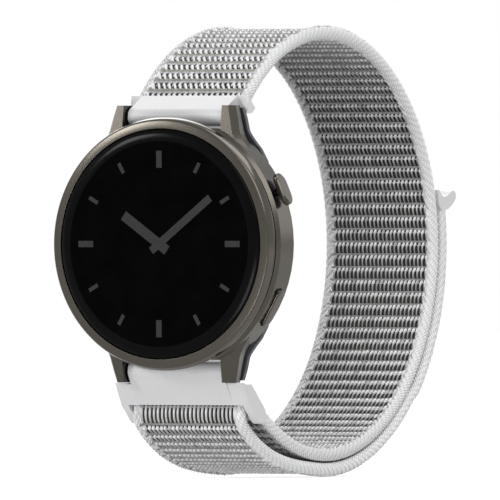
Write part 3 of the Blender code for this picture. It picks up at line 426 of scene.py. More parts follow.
def bump(made, texture, strength, distance):
    bumped = node(made, "ShaderNodeBump")
    bumped.inputs["Strength"].default_value = strength
    bumped.inputs["Distance"].default_value = distance
    link(made, texture.outputs["Fac"], bumped.inputs["Height"])
    link(made, bumped.outputs["Normal"], shader_of(made).inputs["Normal"])


def tint_around(made, texture, colour, darkest, lightest):
    """Base colour that varies about one colour, between these factors of it."""
    tint(made, texture, [darkest * part for part in colour], [lightest * part for part in colour])


def yarn_material(name, roughness):
    """Yarn whose colour comes with each point of the mesh."""
    made = new_material(name, (0.5, 0.5, 0.5), roughness)
    colour = node(made, "ShaderNodeVertexColor", layer_name="yarn")
    link(made, colour.outputs["Color"], shader_of(made).inputs["Base Color"])
    shader_of(made).inputs["Sheen Weight"].default_value = 0.15
    shader_of(made).inputs["Specular IOR Level"].default_value = 0.35
    return made


def soft_material(name, dark, light, roughness, scale=1800, strength=0.2):
    """A matt stuff whose colour and surface vary finely."""
    made = new_material(name, light, roughness)
    fine = noise(made, scale)
    tint(made, fine, dark, light)
    bump(made, fine, strength, distance=0.00003)
    return made


def gunmetal_material(name, colour, roughness):
    made = new_material(name, colour, roughness, 1.0)
    fine = noise(made, scale=6000, detail=2)
    tint_around(made, fine, colour, darkest=0.96, lightest=1.03)
    bump(made, fine, strength=0.012, distance=0.00001)
    return made


def steel_material(name, colour, roughness):
    made = new_material(name, colour, roughness, 1.0)
    brushed = noise(made, scale=2500, detail=3, stretch=(0.08, 1, 1))
    tint_around(made, brushed, colour, darkest=0.85, lightest=1.1)
    bump(made, brushed, strength=0.1, distance=0.00001)
    return made


def ringed_material(name, dark, light, roughness, scale):
    """Wound wire in rings about the watch's axis."""
    made = new_material(name, light, roughness, 1.0)
    place = node(made, "ShaderNodeTexCoord")
    rings = node(made, "ShaderNodeTexWave", wave_type="RINGS", rings_direction="Y")
    rings.inputs["Scale"].default_value = scale
    link(made, place.outputs["Object"], rings.inputs["Vector"])
    tint(made, rings, dark, light)
    bump(made, rings, strength=0.6, distance=0.0001)
    return made


def plastic_material(name, colour, roughness):
    made = new_material(name, colour, roughness)
    fine = noise(made, scale=1500, detail=3)
    tint_around(made, fine, colour, darkest=0.97, lightest=1)
    bump(made, fine, strength=0.05, distance=0.00002)
    return made


def glass_material(name, roughness, specular):
    """Glass with black behind it."""
    made = new_material(name, BLACK, roughness)
    tint(made, noise(made, scale=200, detail=2), BLACK, NEAR_BLACK)
    shader_of(made).inputs["Specular IOR Level"].default_value = specular
    return made


# Meshes


def new_object(name, data):
    made = bpy.data.objects.new(name, data)
    bpy.context.scene.collection.objects.link(made)
    return made


def mesh_piece(name, points, quads, made, body=None, colours=None, smooth=True):
    """A mesh from numpy arrays of points and faces, riding on a body."""
    mesh = bpy.data.meshes.new(name)
    points = np.asarray(points, dtype=np.float32).reshape(-1, 3)
    quads = np.asarray(quads, dtype=np.int32)
    mesh.vertices.add(len(points))
    mesh.vertices.foreach_set("co", points.ravel())
    mesh.loops.add(quads.size)
    mesh.loops.foreach_set("vertex_index", quads.ravel())
    mesh.polygons.add(len(quads))
    mesh.polygons.foreach_set("loop_start", np.arange(0, quads.size, quads.shape[1], dtype=np.int32))
    mesh.update(calc_edges=True)
    mesh.validate()
    if smooth:
        mesh.shade_smooth()
    if colours is not None:
        layer = mesh.color_attributes.new("yarn", "FLOAT_COLOR", "POINT")
        flat = np.ones((len(points), 4), dtype=np.float32)
        flat[:, :3] = np.asarray(colours, dtype=np.float32).reshape(-1, 3)
        layer.data.foreach_set("color", flat.ravel())
    mesh.materials.append(made)
    piece = new_object(name, mesh)
    if body:
        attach(piece, body)
    return piece


def grid_faces(rows, columns, wrap=False):
    """Quads of a grid of points, rows by columns, row after row."""
    across = columns if wrap else columns - 1
    i, j = np.meshgrid(np.arange(rows - 1), np.arange(across), indexing="ij")
    k = (j + 1) % columns
    corners = [i * columns + j, i * columns + k, (i + 1) * columns + k, (i + 1) * columns + j]
    return np.stack(corners, axis=-1).reshape(-1, 4)


# The band's path


def outward_at(angle):
    out = np.stack([np.cos(angle) / LOOP_HALF_DEPTH, np.sin(angle) / LOOP_HALF_HEIGHT], axis=-1)
    return out / np.linalg.norm(out, axis=-1, keepdims=True)


def on_loop(angle, offset=0.0):
    """Depth and height of points on the loop, at an offset outwards."""
    angle = np.asarray(angle, dtype=float)
    offset = np.asarray(offset, dtype=float)
    depth = LOOP_CENTRE + LOOP_HALF_DEPTH * np.cos(angle)
    middle = np.stack([depth, LOOP_HALF_HEIGHT * np.sin(angle)], axis=-1)
    return middle + outward_at(angle) * offset[..., None]


def ease(share):
    share = np.clip(share, 0, 1)
    return share * share * (3 - 2 * share)


def outer_offset(angle):
    """How far the outer layer's middle lies outside the inner layer's."""
    closing = ease((angle - SLOT_ANGLE) / LEAD_ANGLE)
    hooks = ease((angle - PEEL_ANGLE) / (HOOK_START_ANGLE - PEEL_ANGLE))
    apart = 2 * FOLD_RADIUS
    return apart + (LAYER_PITCH - apart) * closing + (HOOK_PITCH - LAYER_PITCH) * hooks


def fold_points():
    axis = on_loop(SLOT_ANGLE, FOLD_RADIUS)
    out = outward_at(SLOT_ANGLE)
    start = math.atan2(-out[1], -out[0])
    turn = start + np.linspace(0, math.pi, FOLD_POINTS)
    return axis + FOLD_RADIUS * np.stack([np.cos(turn), np.sin(turn)], axis=-1)


class Path:
    """The band's middle from the upper connector, round the loop and the crossbar, and back to the tab."""

    def __init__(self):
        inner = on_loop(np.linspace(ENTRY_ANGLE + START_OVERLAP, SLOT_ANGLE, INNER_POINTS))
        fold = fold_points()
        outer = np.linspace(SLOT_ANGLE, PEEL_ANGLE, OUTER_POINTS)
        outer = on_loop(outer, outer_offset(outer))
        end_angles = np.linspace(PEEL_ANGLE, END_ANGLE, END_POINTS)
        end = on_loop(end_angles, outer_offset(end_angles))
        self.points = np.concatenate([inner, fold[1:], outer[1:], end[1:]])
        steps = np.linalg.norm(np.diff(self.points, axis=0), axis=1)
        self.length = np.concatenate([[0], np.cumsum(steps)])
        marks = np.cumsum([len(inner) - 1, len(fold) - 1, len(outer) - 1, len(end) - 1])
        self.stops = [float(self.length[mark]) for mark in marks]
        along = np.gradient(self.points, axis=0)
        along /= np.linalg.norm(along, axis=1, keepdims=True)
        self.normals = np.stack([-along[:, 1], along[:, 0]], axis=-1)
        hooks = np.argmin(np.abs(end_angles - HOOK_START_ANGLE))
        self.hooks_at = float(self.length[marks[2] + hooks])

    def place(self, x, s, rise):
        """World points of band points, whose rise is towards the path's normals."""
        y = np.interp(s, self.length, self.points[:, 0])
        z = np.interp(s, self.length, self.points[:, 1])
        ny = np.interp(s, self.length, self.normals[:, 0])
        nz = np.interp(s, self.length, self.normals[:, 1])
        size = np.hypot(ny, nz)
        return np.stack([x, y + rise * ny / size, z + rise * nz / size], axis=-1)


path = Path()
SLOT_AT, FOLD_END, PEEL_AT, BAND_END = path.stops
# The fine face looks inwards on the inner run: -1 where the normals there point outwards
SKIN = -1.0 if np.dot(path.normals[0], outward_at(ENTRY_ANGLE)) > 0 else 1.0


# Yarns


def arc_yarns(x, s, rise, half, height, colours, arc=YARN_POINTS):
    """Half round yarns. Each array is yarns by rings; returns band points, faces and colours."""
    count, rings = x.shape
    dx = np.gradient(x, axis=1)
    ds = np.gradient(s, axis=1)
    size = np.hypot(dx, ds)
    side_x, side_s = ds / size, -dx / size
    turn = np.linspace(0, math.pi, arc)
    wide = np.cos(turn)[None, None, :]
    up = np.sin(turn)[None, None, :]
    px = x[..., None] + side_x[..., None] * half[..., None] * wide
    ps = s[..., None] + side_s[..., None] * half[..., None] * wide
    pr = rise[..., None] + height[..., None] * up
    faces = grid_faces(rings, arc)
    faces = faces[None] + (np.arange(count) * rings * arc)[:, None, None]
    tones = np.repeat(colours[:, :, None, :], arc, axis=2)
    return px.ravel(), ps.ravel(), pr.ravel(), faces.reshape(-1, 4), tones.reshape(-1, 3)


class Layer:
    """Yarn meshes gathered in band coordinates, turned into one piece at the end."""

    def __init__(self, side):
        self.side = side
        self.sets = []
        self.count = 0

    def add(self, x, s, rise, faces, colours):
        self.sets.append((x, s, rise, faces + self.count, colours))
        self.count += len(x)

    def piece(self, name, made, body):
        x, s, rise, faces, colours = [np.concatenate(part) for part in zip(*self.sets)]
        points = path.place(x, s, self.side * rise)
        return mesh_piece(name, points, faces, made, body, colours)


def row_marks(start, end, pitch):
    """Starts and lengths of the rows that fill a stretch of the band."""
    count = max(1, round((end - start) / pitch))
    edges = np.linspace(start, end, count + 1)
    return np.stack([edges[:-1], np.diff(edges)], axis=-1)


def all_rows():
    """Rows of both faces over the whole band; the fine face has one long row where it leaves the slot."""
    long_end = FOLD_END - LONG_ROW_END
    long_start = long_end - LONG_ROW
    skin = [
        row_marks(0.0, SLOT_AT, SKIN_ROW),
        row_marks(SLOT_AT, long_start, SKIN_ROW),
        row_marks(long_start, long_end, LONG_ROW),
        row_marks(long_end, BAND_END, SKIN_ROW),
    ]
    pile = [row_marks(0.0, SLOT_AT, PILE_ROW), row_marks(SLOT_AT, BAND_END, PILE_ROW)]
    return np.concatenate(skin), np.concatenate(pile)


def rows_between(rows, start, end):
    middle = rows[:, 0] + rows[:, 1] / 2
    return rows[(middle >= start) & (middle < end)]


def foot_at(x):
    """Where yarns start, from the band's middle: on the cloth, or just inside a cord that they cross."""
    share = np.clip((np.abs(x) - BRAID_CENTRE) / BRAID_HALF_WIDTH, -1, 1)
    return np.maximum(YARN_FOOT, BRAID_HALF_HEIGHT * np.sqrt(1 - share ** 2) - YARN_SINK)


def lowered(height, foot):
    """Yarns lie flatter where they reach over a cord."""
    over = (foot - YARN_FOOT) / (BRAID_HALF_HEIGHT - YARN_FOOT)
    return height * (1 - FLATTER_SHARE * over)


def cells(rows, pitch, sides):
    """Row starts, row lengths and column middles of every cell, and the column pitch."""
    columns = round((sides[1] - sides[0]) / pitch)
    pitch = (sides[1] - sides[0]) / columns
    middles = sides[0] + pitch * (np.arange(columns) + 0.5)
    start, middle = np.meshgrid(rows[:, 0], middles, indexing="ij")
    length = np.repeat(rows[:, 1:2], columns, axis=1)
    return start.ravel()[:, None], length.ravel()[:, None], middle.ravel()[:, None], pitch


def shade_between(low, high, shares):
    return low * (1 - shares[..., None]) + high * shares[..., None]


def varied(spread, *shape):
    """Random factors within a spread."""
    return rng.uniform(*spread, shape)


def strayed(distance, *shape):
    """Random shifts of about this distance."""
    return rng.normal(0, distance, shape)


def skin_weave(layer, rows, sides, fullness_and_light):
    """Fine face: a yarn starts as a slanted stitch, painted white there as a highlight, turns into a grey
    rib and dives under a weft.
    """
    start, length, middle, pitch = cells(rows, SKIN_PITCH, sides)
    count = len(start)
    at, across, highlight_share = SKIN_SHARES.T
    long_row = length > LONG_ROW_LIMIT
    # The long row's yarns get their painted highlight in their middle
    highlight_share = np.where(long_row, LONG_HIGHLIGHT_SHARES, highlight_share)
    across = np.where(long_row, LONG_SWAY_SHARE * across, across)
    sway = pitch * across * varied(SKIN_SWAY_SPREAD, count, 1)
    x = middle + sway + strayed(SKIN_STRAY_ACROSS, count, 1)
    s = start + length * at + strayed(SKIN_STRAY_ALONG, count, 1)
    height = SKIN_HEIGHTS * varied(SKIN_HEIGHT_SPREAD, count, 1)
    half = SKIN_HALVES * np.where(long_row, LONG_WIDTH, 1.0) * fullness_and_light
    half = half * varied(SKIN_WIDTH_SPREAD, count, 1)
    brightness = rng.choice(BRIGHT_SHARES, (count, 1), p=BRIGHT_YARN_SHARES)
    # Ribs on the loop's outside are painted lighter by the square of the fullness: painted light on the
    # better lit outside
    rib = RIB * fullness_and_light ** 2 * varied(RIB_TONE_SPREAD, count, 1, 1)
    # Each yarn is painted white as a highlight where it rises, and grey down its rib
    colours = shade_between(rib, WHITE, highlight_share * brightness)
    half = half * np.where(long_row, LONG_HALF_SHARES, 1.0)
    layer.add(*arc_yarns(x, s, foot_at(x), half, lowered(height, foot_at(x)), colours))
    weft_line(layer, rows, sides, pitch, *SKIN_WEFT)
    weft_line(layer, rows, sides, pitch, *SKIN_THREAD)


def weft_line(layer, rows, sides, pitch, count, share, half, height, wave, colour):
    """Threads across the band, one in each row, that rise and fall along it."""
    steps = np.arange(sides[0], sides[1], pitch / count)
    x = np.tile(steps, (len(rows), 1))
    s = rows[:, :1] + share * rows[:, 1:] + strayed(WEFT_STRAY, *x.shape)
    lift = wave * varied(WEFT_WAVE_SPREAD, *x.shape)
    tone = colour * varied(WEFT_TONE_SPREAD, len(rows), len(steps), 1)
    layer.add(*arc_yarns(x, s, foot_at(x), np.full_like(x, half), height + lift, tone, THREAD_POINTS))


def yarn_set(layer, cell, course, heights, halves, colour, spread, arc=YARN_POINTS):
    """One yarn in each cell, all of one colour that varies by the spread."""
    start, length, middle, pitch = cell
    count = len(start)
    at, across = course.T
    x = middle + pitch * across * varied(PILE_SWAY_SPREAD, count, 1)
    s = start + length * at + strayed(PILE_STRAY, count, 1)
    colours = np.repeat(colour * varied(spread, count, 1, 1), len(at), axis=1)
    half = halves * varied(PILE_WIDTH_SPREAD, count, 1)
    foot = foot_at(x)
    layer.add(*arc_yarns(x, s, foot, half, lowered(heights, foot), colours, arc))


def pile_weave(layer, rows, sides):
    """Coarse face: wide white slanted stitches, thin crossing loops and an olive grey band in each cell,
    painted in as the stitches' shadow.
    """
    cell = cells(rows, PILE_PITCH, sides)
    start, length, middle, pitch = cell
    white = (PILE_WHITE_SHARES, PILE_WHITE_HEIGHTS, PILE_WHITE_HALVES)
    loops = (PILE_LOOP_SHARES, PILE_LOOP_HEIGHTS, PILE_LOOP_HALVES)
    olive = (PILE_OLIVE_SHARES, PILE_OLIVE_HEIGHTS, PILE_OLIVE_HALVES)
    yarn_set(layer, cell, *white, WHITE, PILE_WHITE_SPREAD)
    yarn_set(layer, cell, *loops, THREAD, PILE_LOOP_SPREAD, THREAD_POINTS)
    for shift_share in OLIVE_SHIFT_SHARES:
        shifted = (start, length, middle + shift_share * pitch, pitch)
        yarn_set(layer, shifted, *olive, OLIVE_SHADE, PILE_OLIVE_SPREAD)
    weft_line(layer, rows, sides, pitch, *PILE_THREAD)


def edge_stitches(layer, start, end, sides):
    """Thin slanted threads that tie the weave to the cords and leave dark gaps between them."""
    first = np.arange(start, end - STITCH_PITCH, STITCH_PITCH)
    count = len(first)
    for edge in sides:
        x = edge + math.copysign(1, edge) * STITCH_STEPS + strayed(STITCH_STRAY_ACROSS, count, 1)
        s = first[:, None] + STITCH_PITCH * STITCH_SHARES + strayed(STITCH_STRAY_ALONG, count, 1)
        height = np.tile(STITCH_HEIGHTS, (count, 1))
        tone = STITCH * varied(STITCH_TONE_SPREAD, count, 1, 1)
        colours = np.repeat(tone, x.shape[1], axis=1)
        half = np.full_like(x, STITCH_HALF)
        layer.add(*arc_yarns(x, s, foot_at(x), half, height, colours, THREAD_POINTS))


def cloth_strip(name, start, end, made, body):
    """The cloth under the yarns, painted near black as the shade that falls between them."""
    s = np.append(np.arange(start, end, GROUND_STEP), end)
    x = np.tile([a * CLOTH_HALF for a, b in SQUARE], len(s))
    rise = np.tile([b * GROUND_HALF for a, b in SQUARE], len(s))
    points = path.place(x, np.repeat(s, 4), rise)
    return mesh_piece(name, points, grid_faces(len(s), 4, wrap=True), made, body, smooth=False)


def braided_cord(name, start, end, side, hand, made, body):
    """A round cord whose surface is a fine diagonal braid of short picks."""
    s = np.append(np.arange(start, end, BRAID_STEP), end)
    turn = 2 * math.pi * np.arange(BRAID_AROUND) / BRAID_AROUND
    along, around = np.meshgrid(s, turn, indexing="ij")
    wound = hand * BRAID_STRANDS * around / (2 * math.pi)
    led = BRAID_STRANDS * along / BRAID_LEAD
    pick = np.abs(np.sin(math.pi * (led + wound)))
    cross = np.abs(np.sin(math.pi * (led - wound) / 2))
    ridge = pick ** BRAID_SHARPNESS * (1 - BRAID_CROSS_SHARE + BRAID_CROSS_SHARE * cross)
    lift = BRAID_RELIEF * (BRAID_SWELL * ridge - 1.0)
    x = side * BRAID_CENTRE + (BRAID_HALF_WIDTH + lift) * np.cos(around)
    rise = (BRAID_HALF_HEIGHT + lift) * np.sin(around)
    points = path.place(x.ravel(), along.ravel(), rise.ravel())
    # The strands' tops get a painted highlight and the gaps between them painted shade
    colours = (BRAID_GAP_SHADE + BRAID_TOP_HIGHLIGHT * ridge.reshape(-1, 1)) * BRAID_TINT
    return mesh_piece(name, points, grid_faces(len(s), BRAID_AROUND, wrap=True), made, body, colours)


def make_band(yarn, ground, braid):
    runs = {
        "inner_run": (0.0, SLOT_AT, "watch_and_inner_band"),
        "fold": (SLOT_AT, FOLD_END, None),
        "outer_run": (FOLD_END, PEEL_AT, "outer_band"),
        "end_run": (PEEL_AT, BAND_END, None),
    }
    skin_rows, pile_rows = all_rows()
    for name, (start, end, body) in runs.items():
        made = [cloth_strip(f"{name}_cloth", start, end, ground, body)]
        inside = name == "inner_run"
        skin = Layer(SKIN)
        sides = (-INNER_REACH if inside else -OUTER_REACH, INNER_REACH)
        skin_weave(skin, rows_between(skin_rows, start, end), sides, 1.0 if inside else OUTER_FULLNESS_AND_LIGHT)
        edge_stitches(skin, start, end, sides)
        made.append(skin.piece(f"{name}_skin_face", yarn, body))
        pile = Layer(-SKIN)
        sides = (-OUTER_REACH, INNER_REACH) if inside else (-HIDDEN_REACH, HIDDEN_REACH)
        pile_weave(pile, rows_between(pile_rows, start, end), sides)
        edge_stitches(pile, start, end, sides)
        made.append(pile.piece(f"{name}_pile_face", yarn, body))
        hand = 1 if inside else -1
        cords = {
            side: braided_cord(f"{name}_{side}_braid", start, end, sign, sign * hand, braid, body)
            for side, sign in (("right", 1), ("left", -1))
        }
        for piece in [*made, *cords.values()]:
            if name == "fold":
                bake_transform(piece)
            if name == "end_run":
                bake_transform(piece)
        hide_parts(f"{name}_weave")
        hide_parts(f"{name}_right_cord")
        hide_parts(f"{name}_left_cord")


def one_hook(x, s, lead):
    """Band points of one bent hook that leans forward or back along the band."""
    rings = []
    for forward, up in HOOK_BEND_SHARES:
        for a, b in SQUARE:
            across, along, off = HOOK_SECTION
            ring_s = s + lead * forward * HOOK_REACH + b * along
            rings.append((x + a * across, ring_s, HOOK_BASE + up * HOOK_HEIGHT + b * off))
    return np.array(rings).T


def make_hooks(tape):
    """Hook tape under the band's end: a thin base with rows of small bent hooks."""
    s = np.append(np.arange(path.hooks_at, BAND_END, HOOK_TAPE_STEP), BAND_END)
    edge = HOOK_HALF + HOOK_TAPE_MARGIN
    x = np.tile([-edge, edge, edge, -edge], len(s))
    rise = np.tile([HOOK_TAPE_BACK, HOOK_TAPE_BACK, HOOK_BASE, HOOK_BASE], len(s))
    sets = [(x, np.repeat(s, 4), rise, grid_faces(len(s), 4, wrap=True))]
    count = len(x)
    across = np.arange(-HOOK_HALF, HOOK_HALF + HOOK_PITCH_ACROSS / 2, HOOK_PITCH_ACROSS)
    rows = np.arange(path.hooks_at + HOOK_ROW_MARGIN, BAND_END - HOOK_ROW_MARGIN, HOOK_PITCH_ACROSS)
    rings = len(HOOK_BEND_SHARES)
    last = 4 * (rings - 1)
    cap = np.array([[last, last + 1, last + 2, last + 3]])
    faces = np.concatenate([grid_faces(rings, 4, wrap=True), cap])
    for i, row in enumerate(rows):
        for place in across:
            sets.append((*one_hook(place, row, 1 if i % 2 else -1), faces + count))
            count += 4 * rings
    x, along, rise, faces = [np.concatenate(part) for part in zip(*sets)]
    points = path.place(x, along, -SKIN * rise)
    piece = mesh_piece("hook_tape", points, faces, tape, smooth=False)
    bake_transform(piece)
    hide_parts("hook_patch")


# Hard pieces


def turned(name, profile, made):
    """A profile of (radius, depth) points turned about the watch's axis; a radius of zero closes it."""
    turns = [2 * math.pi * i / TURN_STEPS for i in range(TURN_STEPS)]
    edited = bmesh.new()
    rings = []
    for radius, depth in profile:
        places = [(radius * math.cos(turn), depth, radius * math.sin(turn)) for turn in turns]
        if radius == 0:
            places = [(0, depth, 0)]
        rings.append([edited.verts.new(place) for place in places])
    pairs = list(zip(rings, rings[1:]))
    if all(radius > 0 for radius, depth in profile):
        pairs.append((rings[-1], rings[0]))
    for a, b in pairs:
        for i in range(TURN_STEPS):
            j = (i + 1) % TURN_STEPS
            corners = [a[i % len(a)], a[j % len(a)], b[j % len(b)], b[i % len(b)]]
            edited.faces.new(list(dict.fromkeys(corners)))
    return solid_piece(name, edited, made)


def solid_piece(name, edited, made, degrees=CREASE_DEGREES):
    """An object from a bmesh, smooth but for creases where faces meet at more than the angle."""
    bmesh.ops.recalc_face_normals(edited, faces=edited.faces)
    for edge in edited.edges:
        if len(edge.link_faces) == 2:
            edge.smooth = edge.calc_face_angle() < math.radians(degrees)
    for face in edited.faces:
        face.smooth = True
    mesh = bpy.data.meshes.new(name)
    edited.to_mesh(mesh)
    edited.free()
    for one in made:
        mesh.materials.append(one)
    return new_object(name, mesh)


def round_edges(piece, width, segments=3, degrees=30):
    bevel = piece.modifiers.new("edges", "BEVEL")
    bevel.width = width
    bevel.segments = segments
    bevel.limit_method = "ANGLE"
    bevel.angle_limit = math.radians(degrees)
    bevel.harden_normals = True
    weights = piece.modifiers.new("normals", "WEIGHTED_NORMAL")
    weights.keep_sharp = True


def rounded_copy(name, made, width):
    """A CAD node's shape with its edges rounded."""
    edited = bmesh.new()
    edited.from_mesh(frame["nodes"][name].data)
    bmesh.ops.remove_doubles(edited, verts=edited.verts, dist=MERGE_DISTANCE)
    angle = math.radians(FLAT_DEGREES)
    edges = list(edited.edges)
    bmesh.ops.dissolve_limit(edited, angle_limit=angle, verts=edited.verts, edges=edges)
    piece = solid_piece(f"{name}_rounded", edited, [made])
    round_edges(piece, width)
    return piece


def take_place(piece, name):
    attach(piece, body_of[name])
    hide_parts(name)


def second_finish(piece, test):
    """Gives the piece's second material to the faces that pass a test of their radius and depth."""
    for face in piece.data.polygons:
        across = math.hypot(face.center.x, face.center.z)
        face.material_index = 1 if test(across, face.center.y) else 0


def make_glass(black, rim):
    profile = [(0, 0), (GLASS_FLAT_RADIUS, 0)]
    for i in range(1, GLASS_RIM_STEPS + 1):
        turn = math.pi / 2 * i / GLASS_RIM_STEPS
        radius = GLASS_FLAT_RADIUS + (GLASS_RADIUS - GLASS_FLAT_RADIUS) * math.sin(turn)
        profile.append((radius, GLASS_RIM_DROP * (1 - math.cos(turn))))
    profile += [(GLASS_RADIUS, GLASS_THICKNESS), (0, GLASS_THICKNESS)]
    piece = turned("glass_dome", profile, [black, rim])
    second_finish(piece, lambda across, behind: across > GLASS_FLAT_RADIUS - RIM_OVERLAP)
    take_place(piece, "glass")


def make_bezel(satin, polished):
    profile = [
        *BEZEL_FRONT,
        (BEZEL_RADIUS, BEZEL_BAND_DEPTH),
        (BEZEL_GROOVE_RADIUS, BEZEL_BAND_DEPTH),
        (BEZEL_GROOVE_RADIUS, BEZEL_BACK),
        (BEZEL_LEDGE_RADIUS, BEZEL_BACK),
        (BEZEL_LEDGE_RADIUS, BEZEL_LEDGE_DEPTH),
        (BEZEL_BORE, BEZEL_LEDGE_DEPTH),
    ]
    piece = turned("bezel_ring", profile, [satin, polished])
    radius, depth = BEZEL_CHAMFER_RADIUS, BEZEL_CHAMFER_DEPTH
    second_finish(piece, lambda across, behind: across > radius and behind < depth)
    round_edges(piece, BEZEL_ROUNDING, segments=2, degrees=20)
    take_place(piece, "bezel")


def box_at(edited, centre, along, across, thick):
    """A box with its middle and half sides given as vectors."""
    corners = []
    for c in (-1, 1):
        for a, b in SQUARE:
            corners.append(edited.verts.new(centre + along * a + across * b + thick * c))
    for quad in ((0, 1, 2, 3), (7, 6, 5, 4), (0, 4, 5, 1), (1, 5, 6, 2), (2, 6, 7, 3), (3, 7, 4, 0)):
        edited.faces.new([corners[i] for i in quad])


def on_dial(degrees):
    """Directions out of the dial's middle and across, at an angle from twelve o'clock."""
    turn = math.radians(degrees)
    out = Vector((math.sin(turn), 0, math.cos(turn)))
    return out, Vector((out.z, 0, -out.x))


def make_dial(made):
    """A plain dial in the place of the picture on the display: twelve marks and two hands."""
    edited = bmesh.new()
    thick = Vector((0, DIAL_HALF_THICKNESS, 0))
    face = Vector((0, -DIAL_LIFT, 0))
    for i in range(MARK_COUNT):
        out, side = on_dial(360 / MARK_COUNT * i)
        long, wide = SHORT_MARK if i % 3 else LONG_MARK
        box_at(edited, face + out * (MARK_END - long), out * long, side * wide, thick)
    for degrees, low, high, wide, level in HANDS:
        out, side = on_dial(degrees)
        box_at(edited, face * level + out * (low + high) / 2, out * (high - low) / 2, side * wide, thick)
    piece = solid_piece("dial", edited, [made])
    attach(piece, "watch_and_inner_band")


def upright_box(edited, x, z, half):
    """A box at the depth of the spring bars, its sides along the axes."""
    sides = [Vector((half[0], 0, 0)), Vector((0, half[1], 0)), Vector((0, 0, half[2]))]
    box_at(edited, Vector((x, BAR_DEPTH, z)), *sides)


def make_lips(made):
    """Low lips on the connectors that close the gaps to the case and to the lugs' tips."""
    edited = bmesh.new()
    upright_box(edited, 0, LIP_HEIGHT, LIP_HALF)
    upper = solid_piece("upper_barrel_lip", edited, [made])
    edited = bmesh.new()
    upright_box(edited, 0, -LIP_HEIGHT, LIP_HALF)
    for sign in (-1, 1):
        upright_box(edited, sign * SHIM_PLACE[0], SHIM_PLACE[1], SHIM_HALF)
    lower = solid_piece("lower_barrel_lip", edited, [made])
    for piece, name in ((upper, "upper_connector"), (lower, "lower_connector")):
        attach(piece, body_of[name])


def make_springs(made):
    """The wound springs in the two bars, which close up as the plungers are drawn in."""
    wire = SPRING_WIRE_RADIUS
    for side in ("upper", "lower"):
        name = f"{side}_bar_spring"
        low, high = [np.array(corner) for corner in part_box(name)]
        middle = (low + high) / 2
        radius = (high[2] - low[2]) / 2 - wire
        turns = round((high[0] - low[0]) / SPRING_PITCH)
        count = turns * SPRING_STEPS + 1
        along = np.linspace(low[0] + wire, high[0] - wire, count)[:, None]
        wound = np.linspace(0, 2 * math.pi * turns, count)[:, None]
        around = np.linspace(0, 2 * math.pi, SPRING_SIDES, endpoint=False)[None, :]
        reach = radius + wire * np.cos(around)
        x = along + wire * np.sin(around)
        y = middle[1] + reach * np.cos(wound)
        z = middle[2] + reach * np.sin(wound)
        points = np.stack([x, y, z], axis=-1)
        piece = mesh_piece(f"{name}_coil", points, grid_faces(count, SPRING_SIDES, wrap=True), made)
        take_place(piece, name)
        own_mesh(piece)


def make_tab(made):
    """The moulded end: a collar on the band, a rounded lip to pull, and a hollow behind the lip."""
    out = outward_at(TAB_ANGLE)
    along = np.array([-out[1], out[0]])
    base = on_loop(TAB_ANGLE, outer_offset(TAB_ANGLE))
    points = np.array(TAB_SHARES) * TAB_SIZE
    keep = 1 - TAB_CUT_SHARE
    for _ in range(TAB_CUTS):
        rolled = np.roll(points, -1, axis=0)
        near = keep * points + TAB_CUT_SHARE * rolled
        far = TAB_CUT_SHARE * points + keep * rolled
        points = np.stack([near, far], axis=1).reshape(-1, 2)
    edited = bmesh.new()
    sides = []
    for x in (-BAND_HALF, BAND_HALF):
        sides.append([edited.verts.new((x, *(base + along * s + out * n))) for s, n in points])
    count = len(points)
    for i in range(count):
        j = (i + 1) % count
        edited.faces.new([sides[0][i], sides[0][j], sides[1][j], sides[1][i]])
    edited.faces.new(sides[0])
    edited.faces.new(sides[1][::-1])
    piece = solid_piece("moulded_tab", edited, [made], TAB_CREASE_DEGREES)
    round_edges(piece, TAB_ROUNDING, segments=5, degrees=TAB_CREASE_DEGREES)
    take_place(piece, "end_tab")


# Camera, light and floor


def camera():
    data = bpy.data.cameras.new("camera")
    made = new_object("camera", data)
    back = Vector((math.sin(CAMERA_AZIMUTH), -math.cos(CAMERA_AZIMUTH), 0))
    across = Vector((math.cos(CAMERA_AZIMUTH), math.sin(CAMERA_AZIMUTH), 0))
    middle = Vector((0, AIM_DEPTH, 0)) + across * AIM_ACROSS + Vector((0, 0, AIM_HEIGHT))
    made.location = middle + back * CAMERA_DISTANCE
    made.rotation_euler = (-back).to_track_quat("-Z", "Y").to_euler()
    data.sensor_width = SENSOR
    data.lens = SENSOR * CAMERA_DISTANCE * PIXELS_PER_METRE / FRAME_PIXELS
    data.clip_end = CAMERA_CLIP
    bpy.context.scene.camera = made


def area_lamp(name, place, size, power):
    data = bpy.data.lights.new(name, "AREA")
    data.energy = power
    data.size = size
    made = new_object(name, data)
    made.location = place
    made.rotation_euler = (Vector(LAMP_AIM) - Vector(place)).to_track_quat("-Z", "Y").to_euler()


def background_rays(made):
    """1 for the rays that show the background: from the camera, off gloss and through glass."""
    rays = node(made, "ShaderNodeLightPath")
    first = node(made, "ShaderNodeMath", operation="MAXIMUM")
    second = node(made, "ShaderNodeMath", operation="MAXIMUM")
    link(made, rays.outputs["Is Camera Ray"], first.inputs[0])
    link(made, rays.outputs["Is Glossy Ray"], first.inputs[1])
    link(made, first.outputs[0], second.inputs[0])
    link(made, rays.outputs["Is Transmission Ray"], second.inputs[1])
    return second.outputs[0]


def world():
    made = bpy.data.worlds.new("studio")
    made.use_nodes = True
    background = made.node_tree.nodes["Background"]
    level = node(made, "ShaderNodeMapRange")
    level.inputs["To Min"].default_value = AMBIENT
    level.inputs["To Max"].default_value = 1.0
    link(made, background_rays(made), level.inputs["Value"])
    link(made, level.outputs["Result"], background.inputs["Strength"])
    background.inputs["Color"].default_value = (1, 1, 1, 1)
    bpy.context.scene.world = made


